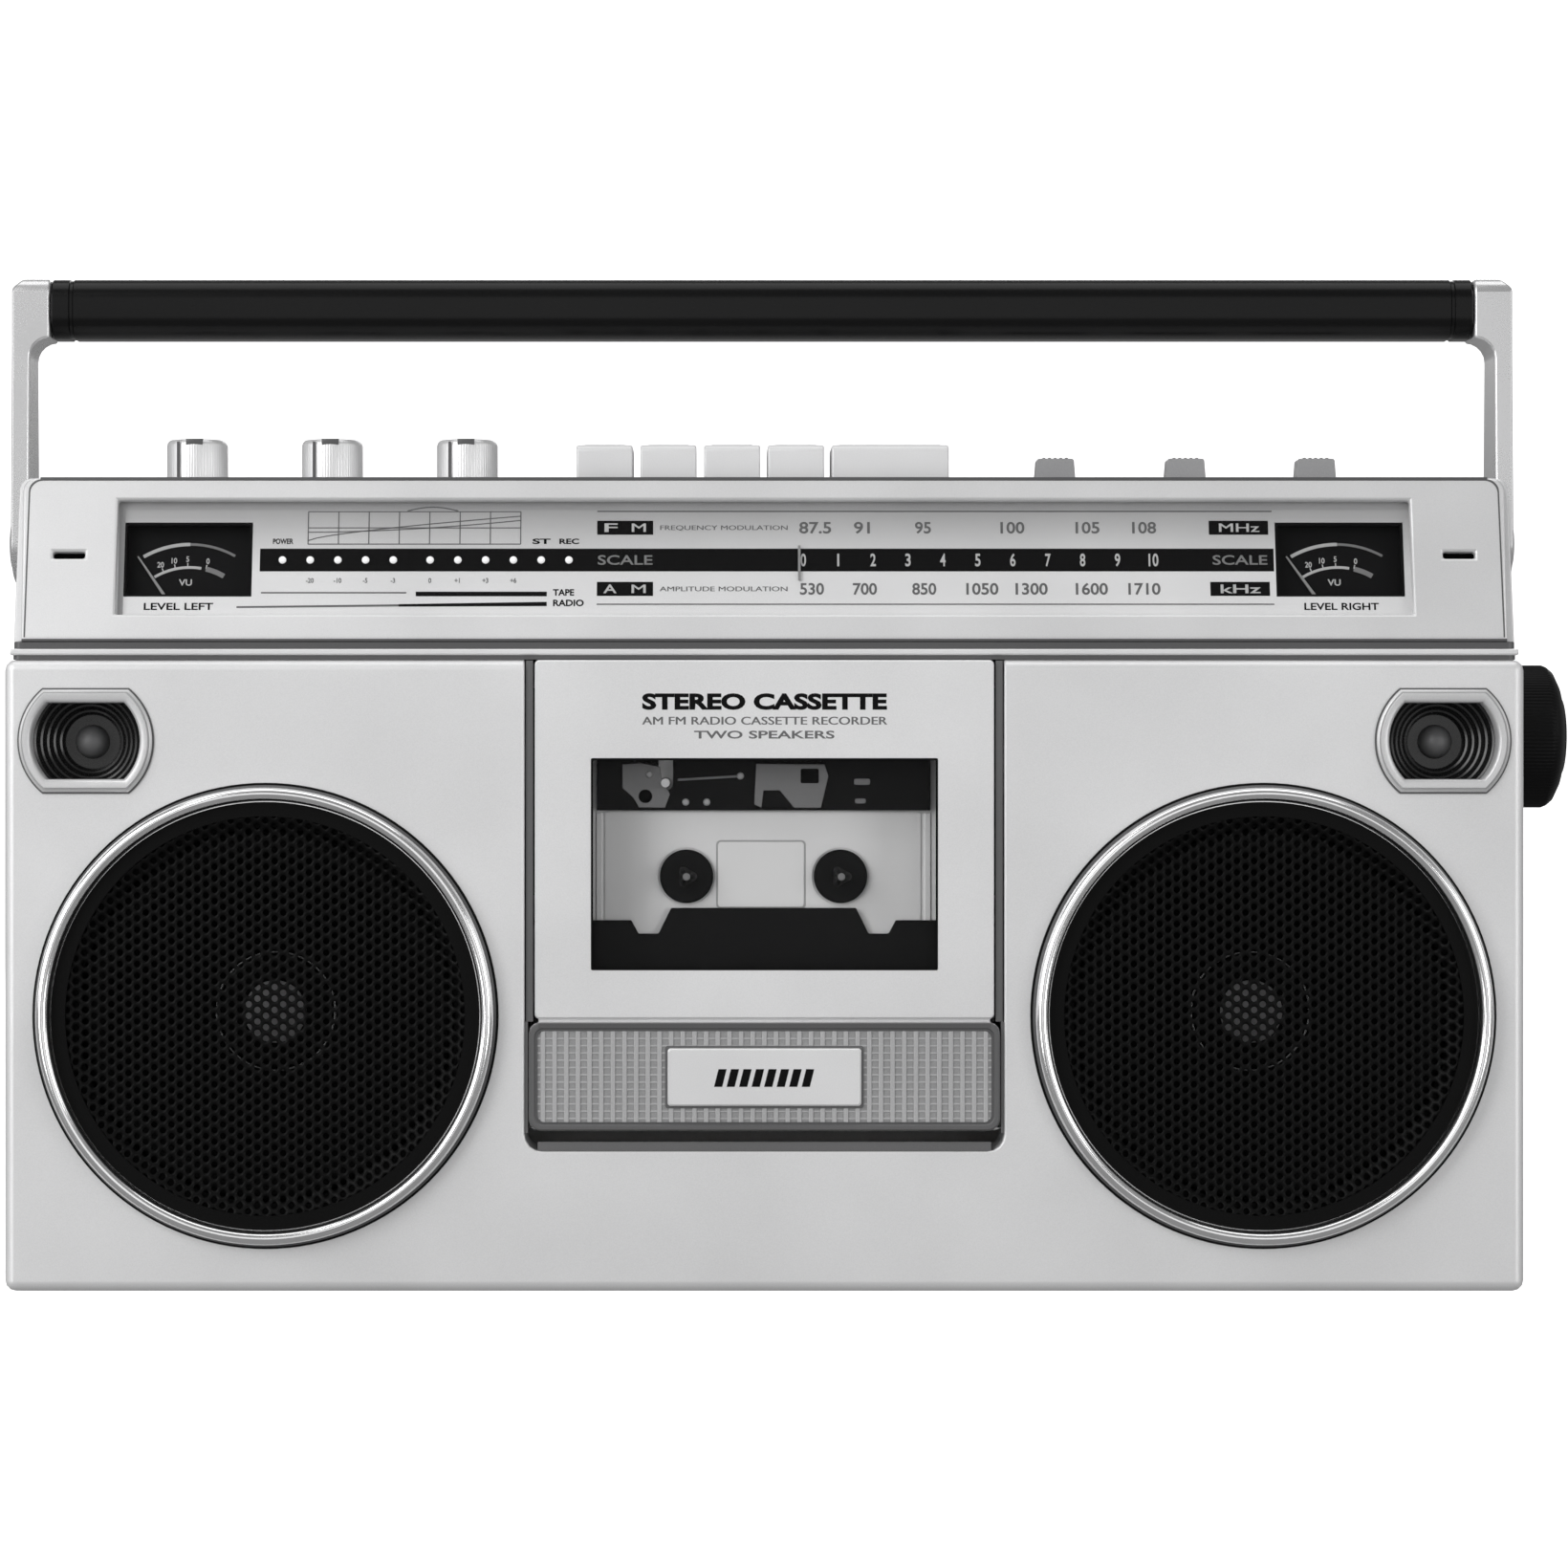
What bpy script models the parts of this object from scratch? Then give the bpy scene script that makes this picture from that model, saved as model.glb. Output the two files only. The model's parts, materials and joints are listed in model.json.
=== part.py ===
"""A portable boombox: a stereo radio and cassette recorder with a folding handle and an aerial.

Every size below is in millimetres, and the mesh helpers turn it into metres. The cabinet's own
frame has X = 0 at its middle, Y = 0 on its front face with +Y to the back, and Z = 0 on the surface
that it stands on. One empty carries that frame, and places the whole object's box about the origin.
"""

import math

import bmesh
import bpy
from mathutils import Matrix, Vector

MM = 0.001
GAP = 0.3

# Lower cabinet: two shells that meet at a seam
HALF_WIDTH = 207.0
DEPTH = 120.0
BOTTOM = 1.5
LOWER_TOP = 173.6
WALL = 2.5
EDGE = 3.0
SEAM_Y = 58.0
NECK_TOP = 177.3
NECK_INSET = 3.0
FOOT_YS = {"foot_front": 35.0, "foot_rear": 102.0}
PEG_X = 90.0

# Upper cabinet
UPPER_BOTTOM = 178.4
TOP = 224.0
UPPER_HALF_WIDTH = 205.0
BEZEL_FOOT_Y = 2.0
BEZEL_HEAD_Y = 13.0
REAR_HEAD_Y = 112.0
LEDGE_Y = 100.0
LEDGE_Z = 207.0

# Speakers
SPEAKER_X = 135.7
SPEAKER_Z = 76.6
SPEAKER_HOLE_R = 60.5
RING_R = 62.7
RING_PROUD = 5.5
TWEETER_X = 184.6
TWEETER_Z = 151.4
TWEETER_R = 18.1
TWEETER_FLAT = 13.9
TWEETER_MOUTH_R = 14.8
TWEETER_MOUTH_FLAT = 10.4

# Cassette well, door and deck
WELL_HALF = 65.3
WELL_BOTTOM, WELL_TOP = 39.7, 173.8
WELL_CORNER = 4.7
WELL_DEPTH = 20.0
DOOR_PIVOT = (8.0, 50.0)
PANEL_HALF = 62.5
PANEL_LOW, PANEL_HIGH = 75.8, 173.4
STRIP_HALF = 64.1
STRIP_LOW, STRIP_HIGH = 45.4, 74.8
WINDOW_HALF = 46.8
WINDOW_LOW, WINDOW_HIGH = 89.4, 146.3
SPINDLE_X, SPINDLE_Z = 21.25, 114.3
CAPSTAN_X, CAPSTAN_Z = -27.0, 140.0
FLYWHEEL_R = 22.0
ROLLER_Z = 155.5
MOTOR_X, MOTOR_Z = 32.0, 80.0
PULLEY_R = 4.5
CHASSIS_Y = 20.3

# Keys, knobs and switches on the top
KEY_PIVOT = (62.0, 218.0)
KEY_TOP = 235.1
KEY_FRONT, KEY_BACK = 38.5, 61.5
KEY_WIDTH, STOP_KEY_WIDTH, KEY_GAP = 15.8, 32.9, 2.1
KEY_NAMES = ("record_key", "play_key", "rewind_key", "forward_key", "stop_eject_key")
CONTROL_Y = 58.0
KNOB_XS = {"volume_knob": -160.6, "tone_knob": -122.2, "balance_knob": -83.8}
SWITCH_XS = {"function_switch": 83.3, "band_switch": 120.3, "mode_switch": 157.3}
SWITCH_TRAVEL = 4.0
KNOB_R = 8.9
TUNING_Y, TUNING_Z, TUNING_R = 36.0, 153.2, 19.9
TUNING_OUT = 223.9

# Dial, in the tilted frame of the tuner panel
DIAL_HALF = 177.3
DIAL_LOW, DIAL_HIGH = 7.9, 40.5
METER_X, METER_V = 158.0, 24.4
NEEDLE_PIVOT_V = 5.25
NEEDLE_LENGTH = 25.4
NEEDLE_REST = math.radians(34)
POINTER_X = 9.7

# Handle and aerial
HANDLE_PIVOT = (60.0, 208.0)
ARM_IN, ARM_OUT = 207.4, 212.5
GRIP_LOW, GRIP_HIGH = 266.4, 283.4
GRIP_HALF = 201.5
AERIAL = (-188.0, 108.0, 213.0)
TUBE_START, TUBE_END = -181.5, 60.0

# Battery bay and mains inlet
BAY_HALF = 94.0
BAY_LOW, BAY_HIGH, BAY_FRONT = 20.0, 95.0, 82.0
COVER_PIVOT = (DEPTH - 1.6, BAY_LOW - 0.6)
INLET_X, INLET_Z = 180.0, 30.0

# The whole object's box is centred on the origin, from side to side and from front to back.
CABINET_X = (ARM_OUT - TUNING_OUT) / 2
CABINET_Y = (RING_PROUD - DEPTH) / 2
TUNER_TILT = math.atan2(BEZEL_HEAD_Y - BEZEL_FOOT_Y, TOP - UPPER_BOTTOM)
TUNER_HEIGHT = math.hypot(BEZEL_HEAD_Y - BEZEL_FOOT_Y, TOP - UPPER_BOTTOM)


# ---------------------------------------------------------------- shapes, in millimetres

def block(low, high):
    """A box between two corners."""
    size = Vector(high) - Vector(low)
    middle = (Vector(high) + Vector(low)) / 2
    shape = bmesh.new()
    bmesh.ops.create_cube(shape, size=1, matrix=Matrix.Translation(middle) @ Matrix.Diagonal((*size, 1)))
    return shape


def placed(axis, flat, along):
    """The point at the two in-plane coordinates flat, at the distance along on the axis."""
    first, second = flat
    return {"X": (along, first, second), "Y": (first, along, second), "Z": (first, second, along)}[axis]


def prism(outline, axis, low, high):
    """A flat outline pushed along an axis. The outline's two coordinates keep the order X, Y, Z."""
    shape = bmesh.new()
    base = shape.faces.new([shape.verts.new(placed(axis, point, low)) for point in outline])
    pushed = bmesh.ops.extrude_face_region(shape, geom=[base])["geom"]
    step = Vector(placed(axis, (0, 0), high - low))
    bmesh.ops.translate(shape, verts=[v for v in pushed if isinstance(v, bmesh.types.BMVert)], vec=step)
    bmesh.ops.recalc_face_normals(shape, faces=shape.faces)
    return shape


def loop_prism(outer, inner, axis, low, high):
    """A closed band: the space between two outlines with equally many points, pushed along an axis."""
    shape = bmesh.new()
    rings = [[shape.verts.new(placed(axis, point, along)) for point in outline]
             for outline, along in ((outer, low), (outer, high), (inner, high), (inner, low))]
    for ring, following in zip(rings, rings[1:] + rings[:1]):
        for index in range(len(ring)):
            after = (index + 1) % len(ring)
            shape.faces.new((ring[index], ring[after], following[after], following[index]))
    bmesh.ops.recalc_face_normals(shape, faces=shape.faces)
    return shape


def turned(profile, axis, steps=32, ring=False, teeth=0, tooth_depth=0.0):
    """A profile of (radius, distance along the axis) turned about the axis.

    A ring's profile closes on itself. Otherwise it starts and ends on the axis. Rows of a toothed
    profile that have a third value are cut back by tooth_depth between the teeth.
    """
    shape = bmesh.new()
    rows = []
    for radius, along, *toothed in profile:
        if radius == 0:
            rows.append([shape.verts.new(placed(axis, (0, 0), along))])
            continue
        row = []
        for step in range(steps):
            angle = 2 * math.pi * step / steps
            between = toothed and (step * teeth * 2 // steps) % 2
            reach = radius - tooth_depth if between else radius
            point = (reach * math.cos(angle), reach * math.sin(angle))
            row.append(shape.verts.new(placed(axis, point, along)))
        rows.append(row)
    pairs = list(zip(rows, rows[1:])) + ([(rows[-1], rows[0])] if ring else [])
    for row, following in pairs:
        for step in range(steps):
            after = (step + 1) % steps
            corners = (row[step % len(row)], row[after % len(row)],
                       following[after % len(following)], following[step % len(following)])
            shape.faces.new(list(dict.fromkeys(corners)))
    bmesh.ops.recalc_face_normals(shape, faces=shape.faces)
    return shape


def moved(shape, x=0.0, y=0.0, z=0.0):
    bmesh.ops.translate(shape, verts=shape.verts, vec=(x, y, z))
    return shape


def rounded(shape, radius, along="XYZ", segments=3, picked=lambda middle: True):
    """The shape with a round on its straight edges that run along the given axes."""
    edges = []
    for edge in shape.edges:
        direction = (edge.verts[1].co - edge.verts[0].co).normalized()
        axis = "XYZ"[max(range(3), key=lambda i: abs(direction[i]))]
        if axis in along and picked((edge.verts[0].co + edge.verts[1].co) / 2):
            edges.append(edge)
    bmesh.ops.bevel(shape, geom=edges, offset=radius, segments=segments, profile=0.5, affect="EDGES")
    return shape


def together(*shapes):
    """Several shapes that don't touch, as one cutter."""
    whole = bmesh.new()
    for shape in shapes:
        part = bpy.data.meshes.new("part")
        shape.to_mesh(part)
        whole.from_mesh(part)
        bpy.data.meshes.remove(part)
    return whole


def arc(centre, radius, start, end, steps):
    """Points on an arc, from one angle to another in degrees."""
    angles = (math.radians(start + (end - start) * step / steps) for step in range(steps + 1))
    return [(centre[0] + radius * math.cos(a), centre[1] + radius * math.sin(a)) for a in angles]


def round_box(low, high, radius, steps=4):
    """The outline of a rectangle with round corners."""
    (left, bottom), (right, top) = low, high
    return (arc((right - radius, bottom + radius), radius, -90, 0, steps)
            + arc((right - radius, top - radius), radius, 0, 90, steps)
            + arc((left + radius, top - radius), radius, 90, 180, steps)
            + arc((left + radius, bottom + radius), radius, 180, 270, steps))


def flat_circle(radius, flat, steps=8):
    """The outline of a circle with its top and bottom cut flat."""
    limit = math.degrees(math.asin(flat / radius))
    return arc((0, 0), radius, -limit, limit, steps) + arc((0, 0), radius, 180 - limit, 180 + limit, steps)


def belt_outline(first, first_r, second, second_r, steps=20):
    """The outline of a belt around two circles."""
    across = Vector(second) - Vector(first)
    heading = math.degrees(math.atan2(across.y, across.x))
    wrap = math.degrees(math.acos((first_r - second_r) / across.length))
    return (arc(first, first_r, heading + wrap, heading + 360 - wrap, steps)
            + arc(second, second_r, heading - wrap, heading + wrap, steps // 2))


# ---------------------------------------------------------------- objects

def material(name, colour, roughness, metallic=0.0):
    made = bpy.data.materials.new(name)
    made.use_nodes = True
    shader = made.node_tree.nodes["Principled BSDF"]
    shader.inputs["Base Color"].default_value = (*colour, 1.0)
    shader.inputs["Roughness"].default_value = roughness
    shader.inputs["Metallic"].default_value = metallic
    return made


def empty(name, parent=None, location=(0, 0, 0), tilt=0.0):
    made = bpy.data.objects.new(name, None)
    bpy.context.scene.collection.objects.link(made)
    made.parent = parent
    made.location = Vector(location) * MM
    made.rotation_euler.x = tilt
    made.empty_display_size = 0.02
    return made


def piece(name, shape, look, parent, at=(0, 0, 0), turn=(0, 0, 0)):
    """One object from a shape, placed in its parent's frame."""
    bmesh.ops.scale(shape, vec=(MM, MM, MM), verts=shape.verts)
    mesh = bpy.data.meshes.new(name)
    shape.to_mesh(mesh)
    shape.free()
    mesh.shade_smooth()
    mesh.set_sharp_from_angle(angle=math.radians(32))
    if look:
        mesh.materials.append(look)
    made = bpy.data.objects.new(name, mesh)
    bpy.context.scene.collection.objects.link(made)
    made.parent = parent
    made.location = Vector(at) * MM
    made.rotation_euler = turn
    return made


def combine(owner, operation, *shapes):
    """Booleans each shape with the owner. The helpers share the owner's frame and aren't rendered."""
    for shape in shapes:
        helper = piece(f"{owner.name}_helper", shape, None, owner)
        helper.hide_render = True
        helper.display_type = "WIRE"
        step = owner.modifiers.new(operation.lower(), "BOOLEAN")
        step.operation = operation
        step.object = helper
    return owner


def joined(owner, *shapes):
    return combine(owner, "UNION", *shapes)


def cut(owner, *shapes):
    return combine(owner, "DIFFERENCE", *shapes)


# ---------------------------------------------------------------- cabinet

def cabinet_shell(name, look, cabinet, front):
    """One of the two lower shells: the half of the body in front of the seam, or behind it."""
    inner_back = DEPTH - WALL
    low_half = HALF_WIDTH - WALL
    neck_half = HALF_WIDTH - NECK_INSET
    shell = piece(name, rounded(block((-HALF_WIDTH, 0, BOTTOM), (HALF_WIDTH, DEPTH, LOWER_TOP)), EDGE),
                  look, cabinet)
    joined(shell,
           block((-neck_half, NECK_INSET, 160), (neck_half, DEPTH - NECK_INSET, NECK_TOP)),
           block((-neck_half - 1.5, NECK_INSET - 1.5, 174.8), (neck_half + 1.5, DEPTH - 1.5, 176.5)))
    if front:
        cut(shell, block((-300, SEAM_Y, -10), (300, DEPTH + 10, 200)))
        back = SEAM_Y + 5
        cut(shell,
            block((-low_half, WALL, BOTTOM + WALL), (low_half, back, 171.1)),
            block((-neck_half + WALL, NECK_INSET + WALL, 150), (neck_half - WALL, back, 190)))
    else:
        cut(shell, block((-300, -10, -10), (300, SEAM_Y + GAP, 200)))
        cut(shell,
            block((-low_half, SEAM_Y - 5, BOTTOM + WALL), (low_half, inner_back, 171.1)),
            block((-neck_half + WALL, SEAM_Y - 5, 150), (neck_half - WALL, inner_back - NECK_INSET, 190)))
    return shell


def build_front_cabinet(look, cabinet):
    shell = cabinet_shell("front_cabinet", look, cabinet, front=True)
    joined(shell, block((-WELL_HALF - 2.2, WALL / 2, WELL_BOTTOM - 2), (WELL_HALF + 2.2, WELL_DEPTH, 171.6)))
    foot_x, foot_z = WELL_HALF - WELL_CORNER, WELL_BOTTOM + WELL_CORNER
    well = (arc((foot_x, foot_z), WELL_CORNER, -90, 0, 4) + [(WELL_HALF, WELL_TOP), (-WELL_HALF, WELL_TOP)]
            + arc((-foot_x, foot_z), WELL_CORNER, 180, 270, 4))
    cut(shell, prism(well, "Y", -1, WELL_DEPTH + 1))
    round_holes = []
    for side in (-1, 1):
        speaker = turned([(0, -1), (SPEAKER_HOLE_R, -1), (SPEAKER_HOLE_R, 4), (0, 4)], "Y", 36)
        round_holes.append(moved(speaker, side * SPEAKER_X, 0, SPEAKER_Z))
        tweeter = prism(flat_circle(TWEETER_R - 1.2, TWEETER_FLAT - 1.2), "Y", -1, 4)
        round_holes.append(moved(tweeter, side * TWEETER_X, 0, TWEETER_Z))
        hinge = turned([(0, -1), (1.8, -1), (1.8, 4), (0, 4)], "X", 12)
        start = side * (WELL_HALF + 0.7) - 1.5
        round_holes.append(moved(hinge, start, *DOOR_PIVOT))
    tuning = turned([(0, 190), (3.4, 190), (3.4, 210), (0, 210)], "X", 16)
    round_holes.append(moved(tuning, 0, TUNING_Y, TUNING_Z))
    round_holes += foot_holes(FOOT_YS["foot_front"])
    cut(shell, together(*round_holes))
    return shell


def foot_holes(y):
    holes = []
    for x in (-PEG_X, PEG_X):
        holes.append(moved(turned([(0, 0), (3.0, 0), (3.0, 6), (0, 6)], "Z", 12), x, y, 0))
    return holes


def build_rear_cabinet(look, cabinet):
    shell = cabinet_shell("rear_cabinet", look, cabinet, front=False)
    back = DEPTH - WALL
    joined(shell,
           block((-BAY_HALF - 4.9, BAY_FRONT - 2.2, BAY_LOW - 4.5), (BAY_HALF + 4.9, back + 1, BAY_HIGH + 4.5)),
           block((INLET_X - 15, 98, INLET_Z - 11), (INLET_X + 15, back + 1, INLET_Z + 11)))
    cut(shell, together(
        block((-BAY_HALF, BAY_FRONT, BAY_LOW), (BAY_HALF, back + 0.5, BAY_HIGH)),
        block((INLET_X - 12.3, 95, INLET_Z - 8.3), (INLET_X + 12.3, DEPTH + 1, INLET_Z + 8.3)),
        *foot_holes(FOOT_YS["foot_rear"])))
    door = block((-BAY_HALF - 2.3, back - 0.7, BAY_LOW - 2.3), (BAY_HALF + 2.3, DEPTH + 1, BAY_HIGH + 2.3))
    reach = BAY_HALF + 4.4
    pins = turned([(0, -reach), (1.35, -reach), (1.35, reach), (0, reach)], "X", 12)
    cut(shell, door, moved(pins, 0, *COVER_PIVOT))
    return shell


def build_top_panel(look, cabinet):
    """The upper shell, with the ledge behind it that the folded aerial lies on."""
    slant = 3.4
    ledge_edge = DEPTH - (DEPTH - REAR_HEAD_Y) * (LEDGE_Z - 180) / (TOP - 180)
    side = [(BEZEL_FOOT_Y + slant, UPPER_BOTTOM), (BEZEL_HEAD_Y + slant, TOP), (LEDGE_Y, TOP),
            (LEDGE_Y, LEDGE_Z), (ledge_edge, LEDGE_Z), (DEPTH, 180), (DEPTH, UPPER_BOTTOM)]
    outer = rounded(prism(side, "X", -UPPER_HALF_WIDTH, UPPER_HALF_WIDTH), EDGE, "Y", 3,
                    lambda middle: middle.z > TOP - 1)
    panel = piece("top_panel", outer, look, cabinet)
    bosses = [moved(turned([(0, -1), (9, -1), (9, 1.8), (0, 1.8)], "X", 24), UPPER_HALF_WIDTH, *HANDLE_PIVOT),
              moved(turned([(0, -1.8), (9, -1.8), (9, 1), (0, 1)], "X", 24), -UPPER_HALF_WIDTH, *HANDLE_PIVOT)]
    joined(panel, together(*bosses))
    hollow = [(-10, 170), (-10, TOP - WALL), (LEDGE_Y - WALL, TOP - WALL), (LEDGE_Y - WALL, LEDGE_Z - WALL),
              (ledge_edge - WALL - 0.4, LEDGE_Z - WALL), (DEPTH - WALL, 180), (DEPTH - WALL, 170)]
    inner_half = UPPER_HALF_WIDTH - WALL
    holes = [turned([(0, -220), (4.3, -220), (4.3, 220), (0, 220)], "X", 20)]
    moved(holes[0], 0, *HANDLE_PIVOT)
    holes.append(block((-53.5, 36.5, TOP - 4), (53.5, 63, TOP + 1)))
    for x in KNOB_XS.values():
        holes.append(moved(turned([(0, 0), (3.4, 0), (3.4, 6), (0, 6)], "Z", 16), x, CONTROL_Y, TOP - 4))
    for x in SWITCH_XS.values():
        reach = SWITCH_TRAVEL + 2.4
        holes.append(block((x - reach, CONTROL_Y - 1.6, TOP - 4), (x + reach, CONTROL_Y + 1.6, TOP + 1)))
    cut(panel, prism(hollow, "X", -inner_half, inner_half), together(*holes))
    return panel


def build_feet(look, cabinet):
    """Two rubber rails with pegs that press into the cabinet's floor."""
    for name, y in FOOT_YS.items():
        rail = rounded(block((-150, -6, 0), (150, 6, BOTTOM - GAP)), 0.4, "XY", 1, lambda middle: middle.z < 0.1)
        foot = piece(name, rail, look, cabinet, at=(0, y, 0))
        pegs = [moved(turned([(0, 0.6), (2.7, 0.6), (2.7, 6), (0, 6)], "Z", 12), x, 0, 0)
                for x in (-PEG_X, PEG_X)]
        joined(foot, together(*pegs))


# ---------------------------------------------------------------- tuner panel

def build_tuner(looks, cabinet):
    tuner = empty("tuner_frame", cabinet, (0, BEZEL_FOOT_Y, UPPER_BOTTOM), math.pi / 2 - TUNER_TILT)
    corner = 3.5
    head = (203.5 - corner, TUNER_HEIGHT - corner)
    right = [(202.6, 0.3)] + arc(head, corner, 0, 90, 4)
    outline = right + [(-x, v) for x, v in reversed(right)]
    bezel = piece("tuner_bezel", prism(outline, "Z", -3, 0), looks["silver_face"], tuner)
    slots = [block((side * 190.3 - 4.4, 23.8, -5), (side * 190.3 + 4.4, 25.8, 1)) for side in (-1, 1)]
    cut(bezel, together(block((-DIAL_HALF, DIAL_LOW, -5), (DIAL_HALF, DIAL_HIGH, 1)), *slots))

    dial = piece("dial_plate", block((-180, 5, -4.5), (180, 43.5, -3.3)), looks["dial"], tuner)
    windows = [block((side * METER_X - 17.6, METER_V - 10.6, -6), (side * METER_X + 17.6, METER_V + 10.6, 0))
               for side in (-1, 1)]
    cut(dial, together(*windows))
    lens = block((-DIAL_HALF + GAP, DIAL_LOW + GAP, -2), (DIAL_HALF - GAP, DIAL_HIGH - GAP, -1))
    piece("dial_lens", lens, looks["clear"], tuner)
    pointer = block((-0.35, 18.2, -2.9), (0.35, 28.2, -2.4))
    piece("dial_pointer", pointer, looks["pointer"], tuner, at=(POINTER_X, 0, 0))

    for side, word in ((-1, "left"), (1, "right")):
        case = piece(f"vu_meter_{word}", block((-19.5, 2, -24), (19.5, 37.5, -4.8)), looks["black"], tuner,
                     at=(side * METER_X, 0, 0))
        cut(case, block((-18.3, 3.2, -8), (18.3, 36.3, -4)))
        needle = arc((0, 0), 1.6, 110, 430, 10) + [(0.2, NEEDLE_LENGTH), (-0.2, NEEDLE_LENGTH)]
        piece(f"vu_needle_{word}", prism(needle, "Z", -7.1, -6.6), looks["needle"], tuner,
              at=(side * METER_X, NEEDLE_PIVOT_V, 0), turn=(0, 0, NEEDLE_REST))


# ---------------------------------------------------------------- speakers

def build_speaker(word, side, looks, cabinet):
    spot = empty(f"speaker_{word}", cabinet, (side * SPEAKER_X, 0, SPEAKER_Z))
    ring = [(56.5, 3.2), (60.2, 3.2), (60.2, -GAP), (RING_R, -GAP), (RING_R, -3.4), (62.0, -4.9),
            (60.6, -RING_PROUD), (59.2, -4.9), (58.4, -3.4), (58.4, -0.5), (56.5, -0.5)]
    piece(f"speaker_ring_{word}", turned(ring, "Y", 36, ring=True), looks["chrome"], spot)
    grille = [(0, 0.6), (51, 0.6), (56.8, -1.6), (58.1, -1.6), (58.1, -0.8), (57.1, -0.8), (51.4, 1.4), (0, 1.4)]
    piece(f"speaker_grille_{word}", turned(grille, "Y", 32), looks["grille"], spot)
    basket = [(0, 36), (12.5, 36), (12.5, 34), (29.5, 34), (51.5, 9), (51.5, 3.5), (63, 3.5), (63, 5.7),
              (54, 5.7), (54, 10), (31.5, 35.5), (31.5, 62), (0, 62)]
    piece(f"woofer_basket_{word}", turned(basket, "Y", 24), looks["steel"], spot)
    cone = [(0, 26.5), (9, 28), (16.5, 31), (44, 8.4), (47.5, 5.6), (50.6, 6.8), (50.6, 7.6), (47.5, 6.6),
            (44.3, 9.6), (17, 32.4), (11.5, 32.4), (11.5, 35.7), (10.9, 35.7), (10.9, 29.8), (0, 27.4)]
    piece(f"woofer_cone_{word}", turned(cone, "Y", 24), looks["cone"], spot)


def build_tweeter(word, side, looks, cabinet):
    spot = empty(f"tweeter_{word}", cabinet, (side * TWEETER_X, 0, TWEETER_Z))
    outer = flat_circle(TWEETER_R, TWEETER_FLAT)
    mouth = flat_circle(TWEETER_MOUTH_R, TWEETER_MOUTH_FLAT)
    spigot = flat_circle(TWEETER_R - 1.5, TWEETER_FLAT - 1.5)
    bezel = piece(f"tweeter_bezel_{word}", loop_prism(outer, mouth, "Y", -2.2, -GAP), looks["silver_trim"], spot)
    joined(bezel, loop_prism(spigot, mouth, "Y", -1, 4))
    horn = piece(f"tweeter_horn_{word}", turned([(0, 4.3), (17.5, 4.3), (17.5, 7), (13, 20), (13, 30), (0, 30)],
                                                "Y", 20), looks["cone"], spot)
    throat = [(0, 3), (15, 3), (14.2, 6), (10, 11), (6.5, 14), (4, 15), (0, 13)]
    cut(horn, turned(throat, "Y", 20))


# ---------------------------------------------------------------- cassette door and deck

def build_door(looks, cabinet):
    pivot = empty("door_pivot", cabinet, (0, *DOOR_PIVOT))
    pivot_y, pivot_z = DOOR_PIVOT

    def placed_on_pivot(shape):
        return moved(shape, 0, -pivot_y, -pivot_z)

    panel = prism(round_box((-PANEL_HALF, PANEL_LOW), (PANEL_HALF, PANEL_HIGH), 1, 2), "Y", 0, 3)
    door = piece("cassette_door", placed_on_pivot(panel), looks["silver_face"], pivot)
    strip = prism(round_box((-STRIP_HALF, STRIP_LOW), (STRIP_HALF, STRIP_HIGH), 3, 3), "Y", 0, 3)
    bridge = block((-PANEL_HALF + 1, 1, 74), (PANEL_HALF - 1, 3, 77))
    joined(door, placed_on_pivot(strip), placed_on_pivot(bridge))
    ears = []
    for side in (-1, 1):
        ear = prism(arc((0, 0), 3.6, 135, 405, 10), "X", side * 61 - 2, side * 61 + 2)
        pin = moved(turned([(0, -1), (1.5, -1), (1.5, 3.9), (0, 3.9)], "X", 12), 62.5, 0, 0)
        if side < 0:
            bmesh.ops.rotate(pin, verts=pin.verts, matrix=Matrix.Rotation(math.pi, 3, "Z"))
        ears.append(block((side * 61 - 2, -5.5, -4.4), (side * 61 + 2, 0, 3)))
        joined(door, ear, pin)
    joined(door, together(*ears))
    window = block((-WINDOW_HALF, -1, WINDOW_LOW), (WINDOW_HALF, 4, WINDOW_HIGH))
    cut(door, placed_on_pivot(window))
    pane = block((-WINDOW_HALF + GAP, 0.6, WINDOW_LOW + GAP), (WINDOW_HALF - GAP, 2.4, WINDOW_HIGH - GAP))
    piece("door_window", placed_on_pivot(pane), looks["smoked"], pivot)

    outside, inside, shelf = 52.5, 50.5, 85.0
    right = [(outside, 82.5), (outside, 140), (inside, 140), (inside, shelf)]
    tray = prism(right + [(-x, z) for x, z in reversed(right)], "Y", 3.3, 19.3)
    holder = piece("cassette_holder", placed_on_pivot(tray), looks["black"], pivot)
    lip = [(51.5, 83.5), (51.5, 102.2), (36.5, 102.2), (34.5, 98.5), (29, 98.5), (25.5, 105.6)]
    joined(holder, placed_on_pivot(prism(lip + [(-x, z) for x, z in reversed(lip)], "Y", 17.8, 19.3)))


def build_spindle(name, x, looks, cabinet):
    rows = [(0, 9), (1.6, 9, 1), (2.9, 11.5, 1), (2.9, 17.9, 1), (7.4, 17.9), (7.4, 19.6), (1.5, 19.6),
            (1.5, 22.4), (10, 22.4), (10, 25.2), (0, 25.2)]
    piece(name, turned(rows, "Y", 12, teeth=3, tooth_depth=0.9), looks["black"], cabinet, at=(x, 0, SPINDLE_Z))


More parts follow.
